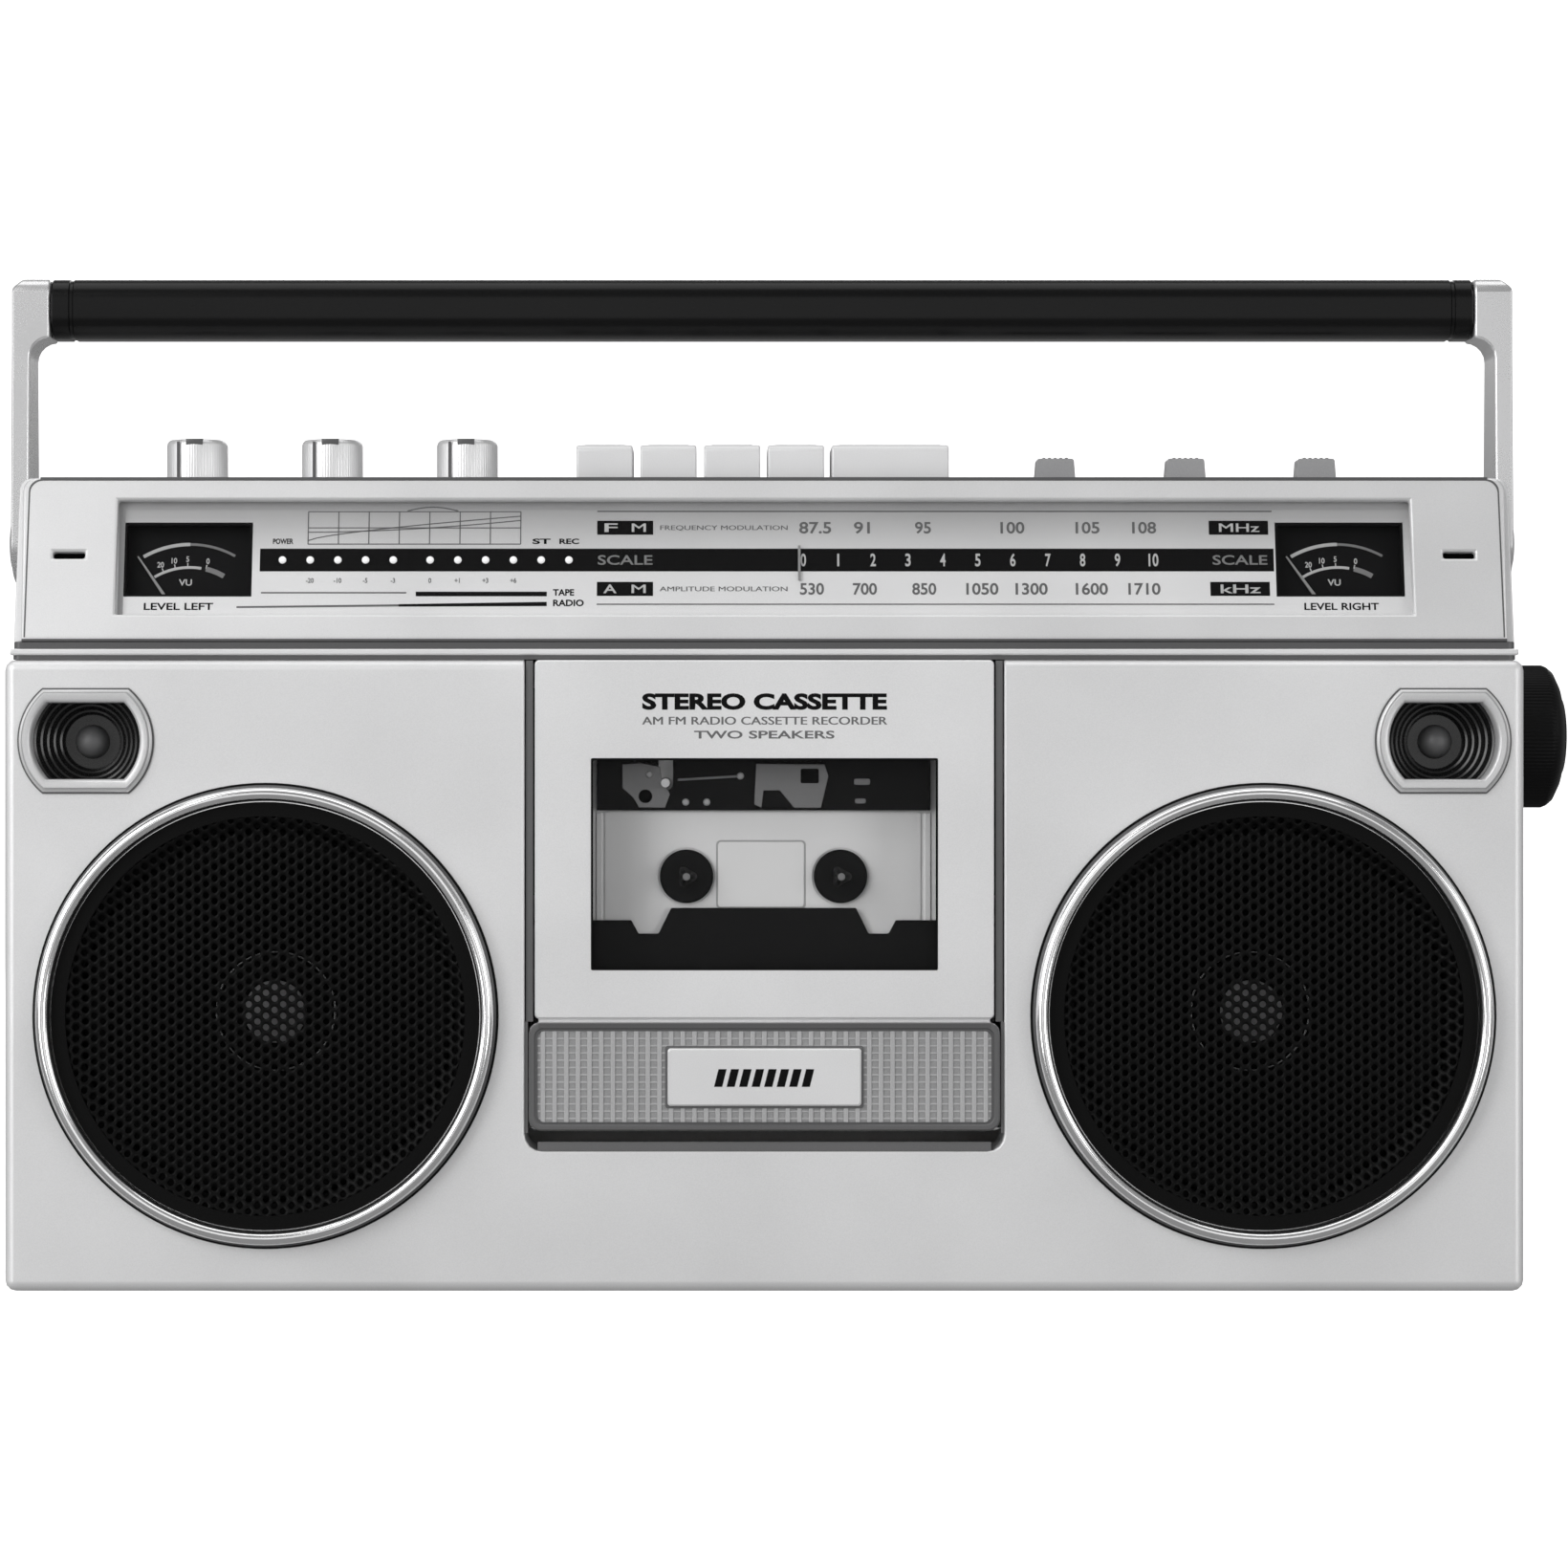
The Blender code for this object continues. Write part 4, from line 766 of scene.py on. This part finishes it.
def build_speaker(word):
    at = middle(f"speaker_ring_{word}")
    put = putter(word, (at.x, 0, at.z))
    trim = [(56.5, 3.2), (60.2, 3.2), (60.2, -0.3), (62.7, -0.3), (62.7, -1.2), (62.2, -1.8),
            *oval(60.35, -3.5, 1.75, -1.9, range(0, 181, 12)), (58.4, -0.5), (56.5, -0.5)]
    put("speaker_trim_ring", turned(trim, "Y", 192, ring=True), "ring", stands_for=(f"speaker_ring_{word}",))
    # A dark ring around the trim ring's outside: painted shadow of the gap between ring and cabinet
    shadow_ring = [(60.9, -0.32), (63.4, -0.32), (63.4, 0.3), (60.9, 0.3)]
    put("speaker_gasket", turned(shadow_ring, "Y", 128, ring=True), "black")
    # A dark band over the trim ring's outer chamfer: a painted shade line
    groove = [(61.9, -2.1), (62.75, -1.3), (62.75, -1.0), (61.9, -1.0)]
    put("speaker_groove", turned(groove, "Y", 160, ring=True), "edge")

    grille = (f"speaker_grille_{word}",)
    sheet = put("grille_sheet", perforated_sheet(), "grille", stands_for=grille, sharp=50)
    thick = sheet.modifiers.new("thickness", "SOLIDIFY")
    thick.thickness = 0.7 * MM
    thick.offset = -1
    rim = [(54.3, -1.9), (58.2, -1.9), (58.2, -0.7), (54.3, -0.3)]
    put("grille_rim", turned(rim, "Y", 144, ring=True), "grille")

    cone = [(15.8, 31.6), (16.2, 31.0)]
    for k in range(1, 25):
        share = k / 24
        cone.append((16.2 + 27.6 * share, 31.0 - 22.4 * share - math.sin(share * math.pi) + 0.12 * (-1) ** k))
    cone += [(44.4, 9.6), (30, 21.6), (16.5, 32.6)]
    put("cone_paper", turned(cone, "Y", 128, ring=True), "paper", stands_for=(f"woofer_cone_{word}",))
    roll = oval(47.3, 7.6, 3.5, -2.3, range(0, 181, 15)) + [(43.8, 8.3), (50.8, 8.3)]
    put("cone_surround", turned(roll, "Y", 128, ring=True), "rubber")
    dome = crowned(26.6, (0, 1, 3, 5, 7, 9, 11, 13, 14.6, CAP_R)) + [(CAP_R, 31.9), (0, 31.9)]
    put("dust_cap", turned(dome, "Y", 96), "paper")
    patch = crowned(26.3, (0, 1, 3, 5, 7, 8.6)) + [(8.8, 28.4), (0, 28.4)]
    put("dust_cap_middle", turned(patch, "Y", 72), "cap")
    bead = oval(16.5, 30.6, 0.55, -0.55, range(0, 360, 30))
    put("dust_cap_bead", turned(bead, "Y", 96, ring=True), "bead")
    paint(f"woofer_basket_{word}", "black")


def build_tweeter(word):
    at = middle(f"tweeter_bezel_{word}")
    put = putter(word, (at.x, 0, at.z))
    rim = [(0, -0.3), (0, -1.0), (-0.5, -1.5), (-0.9, -1.6), (-1.15, -2.2)]
    mouth = [(0.9, -2.2), (0.35, -1.9), (0, -1.2), (0, 4), (1.6, 4), (1.6, -0.3)]
    rows = [(flat_circle(18.1 + out, 13.9 + out), y) for out, y in rim]
    rows += [(flat_circle(14.8 + out, 10.4 + out), y) for out, y in mouth]
    put("tweeter_trim", loft(rows, "Y", closed=True), "bezel", stands_for=(f"tweeter_bezel_{word}",))
    inner = flat_circle(17.0, 12.8)
    put("tweeter_line", band(flat_circle(18.6, 14.4), inner, "Y", -0.34, -0.05), "ledge")
    put("tweeter_step", band(flat_circle(17.5, 13.3), inner, "Y", -1.68, -1.4), "band")
    horn = [(0, 9.4), (2.0, 9.7), (3.4, 10.8), (4.3, 12.4), (4.6, 14.6), (7.4, 14.6)]
    for k in range(5):
        radius, depth = 7.8 + 1.5 * k, 13.2 - 2.0 * k
        horn += [(radius, depth), (radius + 0.35, depth - 0.8), (radius + 0.9, depth - 1.1),
                 (radius + 1.3, depth - 0.9)]
    horn += [(15.2, 3.4), (17.5, 4.3), (17.5, 7), (13, 20), (0, 20)]
    put("tweeter_cone", turned(horn, "Y", 96), "horn", stands_for=(f"tweeter_horn_{word}",))
    dome = [(0, 9.1), (1.2, 9.2), (2.4, 9.8), (3.4, 10.6), (4.2, 11.9), (4.6, 13.6), (4.7, 14.8), (0, 14.8)]
    put("tweeter_dome", turned(dome, "Y", 64), "ledge")


# ---- cassette door and deck

STRIP_HALF, STRIP_LOW, STRIP_HIGH = 64.1, 45.4, 74.8
RIB_PITCH, RIB_WIDTH = 3.17, 1.3
WIRE_PITCH, WIRE_COUNT = 1.98, 13


def strip_row(inset, y=0.0):
    """The outline of the door's lower strip, smaller by an inset, and its distance behind the front."""
    low = (-STRIP_HALF + inset, STRIP_LOW + inset)
    return round_box(low, (STRIP_HALF - inset, STRIP_HIGH - inset), 3.4 - inset * 0.6), y


def badge_row(grow, y):
    return round_box((-26.3 - grow, 52.2 - grow), (26.3 + grow, 67.8 + grow), 0.8), y


def build_door():
    refined("cassette_door", "face", 0.45)
    refined("door_window", "smoked", 0.2)
    refined("cassette_holder", "black", 0.3)

    def put(name, shape, look, **more):
        make(name, shape, look, "cassette_door", **more)

    rim = ((0, 0.2), (0, -0.5), (0.4, -0.9), (1.4, -0.9), (1.8, -0.5), (1.8, 0.2))
    put("strip_rim", loft([strip_row(*row) for row in rim], "Y", closed=True), "rim")
    line = band(strip_row(1.75)[0], strip_row(2.35)[0], "Y", -0.62, -0.1)
    put("strip_line", [line, block((-61.5, -0.97, 73.3), (61.5, -0.5, 74.5))], "edge")
    put("strip_backing", prism(strip_row(1.7)[0], "Y", -0.2, 0.1), "mesh_back")
    low, high, half = STRIP_LOW + 2.2, STRIP_HIGH - 2.2, STRIP_HALF - 2.2
    xs = [k * RIB_PITCH for k in range(-19, 20)]
    ribs = [block((x - RIB_WIDTH / 2, -0.6, low), (x + RIB_WIDTH / 2, -0.1, high)) for x in xs]
    put("strip_ribs", ribs, "mesh", bevel=0.2)
    levels = [48.4 + WIRE_PITCH * k for k in range(WIRE_COUNT)]
    put("strip_wires", [block((-half, -0.38, z), (half, -0.1, z + 0.5)) for z in levels], "mesh", bevel=0.1)

    put("badge_frame", loft([badge_row(0.7, -0.2), badge_row(0.7, -0.75), badge_row(0.2, -0.8)], "Y"), "rim")
    put("badge_plate", loft([badge_row(0, -0.7), badge_row(0, -1.4), badge_row(-0.4, -1.8)], "Y"), "face")
    slant = [(-13.5, -2.4), (-11.3, -2.4), (-10.1, 2.4), (-12.3, 2.4)]
    ornament = [moved(prism(slant, "Z", 1.8, 1.86), 3.4 * k) for k in range(8)]
    put("badge_ornament", ornament, "ink", where=FRONT, at=(-0.2, 59.8, 0))
    put("door_title", words("STEREO CASSETTE", 0, 162.1, 3.9, 66.6, 0.045), "ink", where=FRONT)
    lines = [words("AM FM RADIO CASSETTE RECORDER", 0, 156.9, 2.1, 66.6, 0.02),
             words("TWO SPEAKERS", 0, 153.1, 2.0, 38.2, 0.02)]
    put("door_subtitle", lines, "grey_ink", where=FRONT)
    put("window_line", box_band((-47.2, 89.0), (47.2, 146.7), 0.6, (0.5, 0.3), "Y", -0.06, 0.1), "ink")


def build_spindle(body):
    at = middle(body)
    rows = [(0, 9), (1.2, 9), (1.7, 9.6, 1), (2.9, 11.5, 1), (2.9, 17.9, 1), (6.9, 17.9), (7.4, 18.3),
            (7.4, 19.6), (1.5, 19.6), (1.5, 22.4), (10, 22.4), (10, 25.2), (0, 25.2)]
    hub = turned(rows, "Y", 72, flutes=3, flute_depth=1.0)
    make(f"{body}_fine", hub, "black", body, at=(at.x, 0, at.z), stands_for=(body,))
    tip = turned([(0, 8.86), (0.9, 8.9), (1.15, 9.1), (0, 9.1)], "Y", 32)
    make(f"{body}_tip", tip, "bracket", body, at=(at.x, 0, at.z))


def build_deck():
    refined("deck_chassis", "deck", 0.3)
    behind = span("deck_chassis")[0].y + 0.02
    plate = make("deck_plate", prism(round_box((-43.8, 96), (43.4, 132.1), 0.8), "Y", 19.85, behind), "deck")
    holes = []
    for body in ("supply_spindle", "takeup_spindle"):
        build_spindle(body)
        holes.append(moved(disc(7.9, 15, 21, "Y", 48), middle(body).x, 0, middle(body).z))
    carve(plate, holes)
    line = box_band((-13.1, 105.3), (11.7, 124.3), 0.5, (1.3, 1.0), "Y", 19.8, 19.95)
    make("deck_panel_line", line, "mesh")
    panel = prism(round_box((-12.6, 105.8), (11.2, 123.8), 1.0), "Y", 19.66, 19.9)
    make("deck_panel", panel, "deck_pale", bevel=0.12)
    rails = [side_block(side, 44.6, 46.2, (19.85, 96), (20.4, 131.8)) for side in (-1, 1)]
    make("deck_rails", rails, "deck", bevel=0.15)

    refined("head_carriage", "black", 0.2)
    left = [(-39, 145.2), (-39, 138.6), (-36, 136), (-34.4, 133.3), (-27.2, 133.2), (-25.8, 137),
            (-28.2, 141.6), (-28.6, 144.6), (-34, 145.6)]
    centre = [(-2.1, 145.4), (-2.6, 134.2), (-0.6, 133.2), (0, 138), (4.4, 138), (8.4, 133.2), (15.8, 133.2),
              (17.9, 142), (16.8, 145.2)]
    lever = [(-23.7, 140.6), (-6.6, 141.6), (-6.6, 142.3), (-23.7, 141.3)]
    tabs = [round_box((24.9, 139.5), (29.4, 141.3), 0.6, 3), round_box((25.2, 134.4), (28.2, 135.8), 0.5, 3)]
    brackets = [prism(left, "Y", 17.2, 17.9), prism(centre, "Y", 16.9, 17.4)]
    brackets += [prism(outline, "Y", 17.4, 17.9) for outline in (*tabs, lever)]
    make("head_brackets", brackets, "bracket", "head_carriage", bevel=0.15)
    pin = [(0, 16.7), (0.7, 16.7), (1.0, 17.0), (1.0, 18.1), (0, 18.1)]
    pins = [moved(turned(pin, "Y", 20), x, 0, z)
            for x, z in ((-6.4, 142), (-15.7, 134.8), (-21.5, 134.8), (-31.5, 142.4))]
    make("head_pins", pins, "mesh", "head_carriage")
    # Near-black fills in the carriage's holes: painted shade
    holes = [prism(round_box((10.2, 140.0), (15.2, 144.0), 0.4, 2), "Y", 16.84, 17.0),
             moved(prism(flat_circle(1.9, 1.85, 8), "Y", 17.12, 17.3), -32.6, 0, 136.4)]
    make("head_holes", holes, "recess", "head_carriage")
    for node in ("pinch_roller", "drive_belt"):
        paint(node, "rubber")
    for node in ("capstan_flywheel", "tape_motor", "motor_pulley"):
        paint(node, "steel")


# ---- top controls

def triangle(x, size, way=1):
    tip, back = x + way * size * 0.45, x - way * size * 0.45
    return prism([(back, -size / 2), (tip, 0), (back, size / 2)], "Z", 0, PRINT)


ARROWS = {"play_key": [(0, 4)], "rewind_key": [(-1.7, 3.6, -1), (1.7, 3.6, -1)],
          "forward_key": [(-1.7, 3.6), (1.7, 3.6)]}


def key_symbols(name):
    """The usual tape transport symbols, as thin shapes around the middle of the XY plane."""
    if name == "record_key":
        return [disc(2.0, 0, PRINT, "Z", 40)]
    if name in ARROWS:
        return [triangle(*arrow) for arrow in ARROWS[name]]
    eject = prism([(5.6, -0.4), (10.4, -0.4), (8, 2.2)], "Z", 0, PRINT)
    return [bar(-9.8, -1.8, -6.2, 1.8), eject, bar(5.6, -2.0, 10.4, -1.2)]


def build_keys():
    for name in KEYS:
        refined(name, "key", 0.6)
        low, high = span(name)
        x = (low.x + high.x) / 2
        make(f"{name}_symbol", key_symbols(name), "ink", name, at=(x, low.y + 15.5, high.z))
        half = (high.x - low.x) / 2 - 2.2
        ribs = [ridge((-half, 4 + 1.5 * k, -0.2), (half, 4.7 + 1.5 * k, 0.35), 0.2, "X") for k in range(4)]
        make(f"{name}_ribs", ribs, "key", name, at=(x, low.y, high.z))


def build_knobs():
    for name in KNOBS:
        low, high = span(name)
        at = (low + high) / 2
        radius, top = high.x - at.x, high.z
        rows = [(0, low.z), (3, low.z), (3, TOP + 0.4), (radius - 0.3, TOP + 0.4), (radius, TOP + 0.7),
                (radius, TOP + 1.8), (radius - 0.25, TOP + 2.1, 1), (radius - 0.25, top - 1.5, 1),
                (radius - 0.5, top - 0.6), (radius - 1.1, top), (radius - 2.9, top),
                (radius - 3.3, top - 0.35), (0, top - 0.35)]
        knob = turned(rows, "Z", 288, flutes=72, flute_depth=0.1)
        make(f"{name}_fine", knob, "knob", name, at=(at.x, at.y, 0), stands_for=(name,))
        x = -radius * 0.52
        mark = [ridge((-2.4, 0.25, top - 1.6), (2.4, 3.6, top + 0.06), 0.25, "XZ"),
                block((x - 0.35, 1.0, TOP + 2.4), (x + 0.35, 1.35, top - 0.7))]
        make(f"{name}_mark", mark, "edge", name, at=(at.x, at.y - radius, 0))
        skirt = [(radius + out, z) for out, z in ((0.6, 0), (0.6, 0.15), (0.3, 0.3), (-1.2, 0.3), (-1.2, 0))]
        make(f"{name}_washer", turned(skirt, "Z", 96, ring=True), "black", at=(at.x, at.y, TOP))


def build_switches():
    for name in SWITCHES:
        refined(name, "grey", 0.15)
        low, high = span(name)
        xs = [1.6 * k - 3.6 for k in range(5)]
        ribs = [ridge((x, low.y + 0.9, -0.2), (x + 0.8, high.y - 0.9, 0.3), 0.15, "Y") for x in xs]
        make(f"{name}_ribs", ribs, "grey", name, at=((low.x + high.x) / 2, 0, high.z))


def build_tuning_knob():
    low, high = span("tuning_knob")
    at = (low + high) / 2
    radius, outer = (high.z - low.z) / 2, high.x
    inner = span("front_cabinet")[1].x + 1.3
    rows = [(0, low.x), (3, low.x), (3, inner), (radius - 0.5, inner), (radius - 0.1, inner + 0.4),
            (radius, inner + 1.2, 1), (radius, outer - 6.4, 1)]
    cap = ((0.5, 5.2), (1.6, 3.9), (4.8, 2.3), (8.5, 1.3), (9.0, 0.9), (9.6, 0.9), (10.1, 1.1), (12.5, 0.6),
           (16, 0.1))
    rows += [(radius - inset, outer - drop) for inset, drop in cap] + [(0, outer)]
    knob = turned(rows, "X", 480, flutes=120, flute_depth=0.3)
    make("tuning_knob_fine", knob, "black", "tuning_knob", at=(0, at.y, at.z), stands_for=("tuning_knob",))
    collar = turned([(0, 206.6), (8.5, 206.6), (8.5, 207.6), (7.9, 208.0), (0, 208.0)], "X", 64)
    make("tuning_collar", collar, "black", at=(0, at.y, at.z))
    # A near-black dent on the knob's end: painted shade
    dent = disc(2.6, 0, 0.5, "X", 40)
    make("tuning_dent", dent, "recess", "tuning_knob", at=(outer - 1.2, at.y, at.z + 6.6))


# ---- handle and aerial

def build_handle():
    low, high = span("handle_grip")

    def outline(inset, radius):
        return round_box((low.y + inset, low.z + inset), (high.y - inset, high.z - inset), radius, 12)

    full, groove = outline(0, 6.2), outline(0.35, 5.9)
    rows = [(outline(0.5, 5.8), 0), (full, 0.5), (full, 5), (groove, 5.3), (groove, 6.1), (full, 6.4)]
    rows += [(shape, high.x - low.x - x) for shape, x in reversed(rows)]
    make("grip_sleeve", loft(rows, "X"), "grip", "handle", at=(low.x, 0, 0), stands_for=("handle_grip",))
    hinge = pivot("handle_fold")
    for side, word in SIDES:
        refined(f"handle_arm_{word}", "arm", 0.6)
        face = max(abs(corner.x) for corner in span(f"handle_arm_{word}"))
        cap = [(0, -0.5), (7.2, -0.5), (7.2, 0.5), (6.7, 0.9), (5.2, 1.0), (4.9, 0.7), (0, 0.7)]
        boss = turned([(radius, side * (face + x)) for radius, x in cap], "X", 72)
        make(f"handle_cap_{word}", boss, "chrome", "handle", at=(0, hinge.y, hinge.z))
        # A near-black slot on the cap: painted shade
        slot = side_block(side, face + 0.56, face + 0.76, (-3.6, -0.5), (3.6, 0.5))
        make(f"handle_slot_{word}", slot, "recess", "handle", at=(0, hinge.y, hinge.z))


def build_aerial():
    refined("antenna_base", "black", 0.15)
    for node in ("antenna_outer_tube", "antenna_inner_tube", "antenna_tip_rod"):
        refined(node, "chrome", 0.15)
    axis = pivot("antenna_lift")
    collar = [(2.95, -3), (3.75, -3), (3.9, -2.4), (3.9, -0.8), (3.6, 0.1), (2.95, 0.1)]
    make("antenna_collar", turned(collar, "X", 48, ring=True), "chrome", "antenna_tube",
         at=(span("antenna_outer_tube")[1].x, axis.y, axis.z))
    head = turned([(0, -5.3), (2.1, -5.3), (2.1, -5.9), (1.7, -6.2), (0, -6.2)], "Y", 32)
    make("antenna_screw", head, "chrome", "antenna_base", at=axis)
    spring = [(-3.9, 0), (-4.9, 0), (-4.9, 7.6), (-4.4, 8.6), (-3.9, 7.6)]
    clip = [prism([(y * way, z) for y, z in spring], "X", 30, 36) for way in (-1, 1)]
    clip.append(block((30, -4.9, 0), (36, 4.9, 1.4)))
    make("antenna_clip", clip, "black", at=(0, axis.y, axis.z - 6), bevel=0.2)


# ---- back

def build_screws():
    """Pan heads with cross recesses around the back."""
    radius, height = 2.4, 0.9
    head = [(0, -0.4), (radius, -0.4), (radius, height * 0.4), (radius * 0.8, height * 0.85),
            (radius * 0.5, height), (0, height)]
    long, thin, floor, top = radius * 0.6, 0.24, height - 0.3, height + 0.03
    heads, slots = [], []
    for x, y in [(x, y) for x in (-198, 198) for y in (12, 92, 166)] + [(-60, 166), (60, 166)]:
        heads.append(moved(turned(head, "Z", 32), x, y))
        slots += [moved(block((-a, -b, floor), (a, b, top)), x, y) for a, b in ((long, thin), (thin, long))]
    make("rear_screws_heads", heads, "chrome", where=BACK)
    # Near-black crosses in the screw heads: painted shade of the recesses
    make("rear_screws_slots", slots, "recess", where=BACK)


def build_battery_door():
    refined("battery_door", "body", 0.4)
    low, high = span("battery_door")
    ribs = [ridge((x - 0.8, -0.2, 8), (x + 0.8, 0.5, 52), 0.25, "Z") for x in range(-84, 85, 6)]
    make("battery_door_ribs", ribs, "body", "battery_door", at=(0, high.y, low.z))
    levels = [1.1 * k - 8.5 for k in range(4)]
    latch = [block((-10, -1.6, z), (10, -0.1, z + 0.6)) for z in levels]
    make("battery_latch_ribs", latch, "black", "battery_door", at=(0, high.y, high.z))
    make("battery_label", words("OPEN", 0, 84, 2.2), "grey_ink", "battery_door", BACK, (0, 0, high.y - DEPTH))


def build_back():
    refined("power_inlet", "black", 0.3)
    paint("main_board", "board")
    paint("power_transformer", "steel")
    vents, wells = [], []
    for left in (-182, 118):
        for z in [118 + 3.6 * k for k in range(12)]:
            wells.append(ridge((left, -0.3, z), (left + 64, 0.05, z + 1.7), 0.1, "Y"))
            vents.append(ridge((left - 1, -0.2, z + 1.8), (left + 65, 0.7, z + 3.2), 0.3, "X"))
    # Near-black strips between the vent bars: painted shade of the slots
    make("rear_vent_slots", wells, "recess", at=(0, DEPTH, 0))
    make("rear_vent_bars", vents, "body", at=(0, DEPTH, 0))

    sockets = {"PHONES": -128, "LINE IN": -148, "LINE OUT": -168, "MIC": -188}
    rim = [(2.2, -0.4), (4.6, -0.4), (4.6, 0.8), (4.0, 1.3), (2.4, 1.3), (2.2, 1.0)]
    rims = [moved(turned(rim, "Y", 48, ring=True), x) for x in sockets.values()]
    make("rear_socket_rims", rims, "chrome", at=(0, DEPTH, 60))
    # Near-black discs in the sockets: painted shade of the jack bores
    bores = [moved(disc(2.2, -0.5, 0.15, "Y", 32), x) for x in sockets.values()]
    make("rear_socket_bores", bores, "recess", at=(0, DEPTH, 60))
    labels = [words(text, -x, 51, 2.2) for text, x in sockets.items()]
    labels += [words("BATTERY COMPARTMENT", 0, 104, 2.8), words("AC INPUT", -180, 45, 2.4)]
    make("rear_labels", labels, "grey_ink", where=BACK)

    low, high = span("power_inlet")
    inlet = box_band((low.x - 2.6, low.z - 2.6), (high.x + 2.6, high.z + 2.6), 2.5, (2, 0.4), "Y", -0.1, 0.9)
    make("inlet_frame", inlet, "black", at=(0, DEPTH, 0), bevel=0.2)
    pin = [(0, 113), (1.0, 113), (1.15, 114), (1.25, 117.1), (0, 117.1)]
    pins = [moved(turned(pin, "Y", 24), x) for x in (-4, 4)]
    make("inlet_pins", pins, "steel", at=((low.x + high.x) / 2, 0, 30))


BAY_HALF, BAY_FRONT = 94.0, 82.0
CELL_MIDDLE, CELL_ROWS = BAY_FRONT + 18, (38.8, 76.2)


def build_battery_bay():
    """A divider, contact springs and plates, and polarity marks for two rows of three round cells."""
    ribs = [block((-BAY_HALF - 0.2, -0.1, 56.7), (BAY_HALF + 0.2, 15, 58.3))]
    ribs += [block((x - 0.8, -0.1, 19.8), (x + 0.8, 4, 95.2)) for x in (-30.5, 30.5)]
    make("bay_ribs", ribs, "body", at=(0, BAY_FRONT, 0), bevel=0.2)
    springs, plates, marks = [], [], []
    for side, z in zip((-1, 1), CELL_ROWS):
        for k in range(5):
            wire = arc((8.5 - 1.2 * k, side * (BAY_HALF - 1.2 - 1.9 * k)), 0.45, 0, 330, 11)
            springs.append(moved(turned(wire, "X", 48, ring=True), 0, 0, z))
        for end in (-1, 1):
            plates.append(side_block(end, BAY_HALF - 0.5, BAY_HALF + 0.1, (-10, z - 10), (10, z + 10)))
        x = side * (BAY_HALF - 14)
        marks += [words("+", x, z, 7, weight=0), words("-", -x, z, 7, weight=0)]
    make("bay_springs", springs, "steel", at=(0, CELL_MIDDLE, 0))
    make("bay_contacts", plates, "steel", at=(0, CELL_MIDDLE, 0), bevel=0.15)
    make("bay_marks", marks, "grey_ink", where=BACK, at=(0, 0, BAY_FRONT - DEPTH))


# ---- stage, camera and lights

def build_stage():
    """A white floor and dome, seen only by the camera: the lights alone light the object."""
    pale = bpy.data.materials.new("pale_stage")
    pale.use_nodes = True
    shader = pale.node_tree.nodes["Principled BSDF"]
    for key, value in (("Base Color", (1, 1, 1, 1)), ("Roughness", 0.9), ("Emission Color", (1, 1, 1, 1)),
                       ("Emission Strength", 1.0)):
        shader.inputs[key].default_value = value
    floor, dome = bmesh.new(), bmesh.new()
    bmesh.ops.create_circle(floor, cap_ends=True, segments=96, radius=6)
    bmesh.ops.create_uvsphere(dome, u_segments=64, v_segments=32, radius=6.2)
    for name, shape in (("floor", floor), ("backdrop", dome)):
        made = linked(name, as_mesh(shape, name))
        made.data.materials.append(pale)
        for ray_kind in ("diffuse", "glossy", "transmission", "shadow"):
            setattr(made, "visible_" + ray_kind, False)


def build_camera():
    data = bpy.data.cameras.new("camera")
    camera = linked("camera", data)
    camera.location = CABINET @ Vector((-16, -1250, 132))
    camera.rotation_euler = (math.pi / 2, 0, 0)
    data.lens = 105.5
    data.sensor_width = 36
    data.shift_x, data.shift_y = 0.05, 0.018
    data.clip_start, data.clip_end = 0.05, 30
    bpy.context.scene.camera = camera


def card(name, place, size, power):
    """A soft rectangular light that faces the object's middle."""
    data = bpy.data.lights.new(name, "AREA")
    data.shape = "RECTANGLE"
    data.size, data.size_y = size
    data.energy = power
    light = linked(name, data)
    light.location = place
    light.rotation_euler = (Vector((0, 0, 0.14)) - Vector(place)).to_track_quat("-Z", "Y").to_euler()


def build_lights():
    card("key_left", (-1.3, -1.5, 1.2), (1.2, 1.2), 16)
    card("overhead", (0, -0.1, 2.0), (2.2, 1.4), 14)
    card("fill_left", (-1.7, -1.8, 0.25), (0.8, 1.2), 10.5)
    card("fill_right", (1.7, -1.8, 0.25), (0.8, 1.2), 10)
    card("front_fill", (0.1, -2.4, 0.5), (1.5, 1.2), 4)
    card("side_left", (-1.6, -0.4, 0.5), (0.8, 0.8), 2.7)
    card("side_right", (1.6, -0.4, 0.5), (0.8, 0.8), 2)
    card("rear", (0.2, 2.2, 1.1), (1.8, 1.2), 12)
    world = bpy.data.worlds.new("studio")
    world.use_nodes = True
    background = world.node_tree.nodes["Background"].inputs
    background["Color"].default_value = (1, 1, 1, 1)
    background["Strength"].default_value = 0.27
    bpy.context.scene.world = world
    bpy.context.scene.view_settings.view_transform = "Standard"


build_camera()
build_cabinet()
build_top_print()
build_tuner()
for _, hand in SIDES:
    build_speaker(hand)
    build_tweeter(hand)
build_door()
build_deck()
build_keys()
build_knobs()
build_switches()
build_tuning_knob()
build_handle()
build_aerial()
build_battery_door()
build_screws()
build_back()
build_battery_bay()
build_stage()
build_lights()
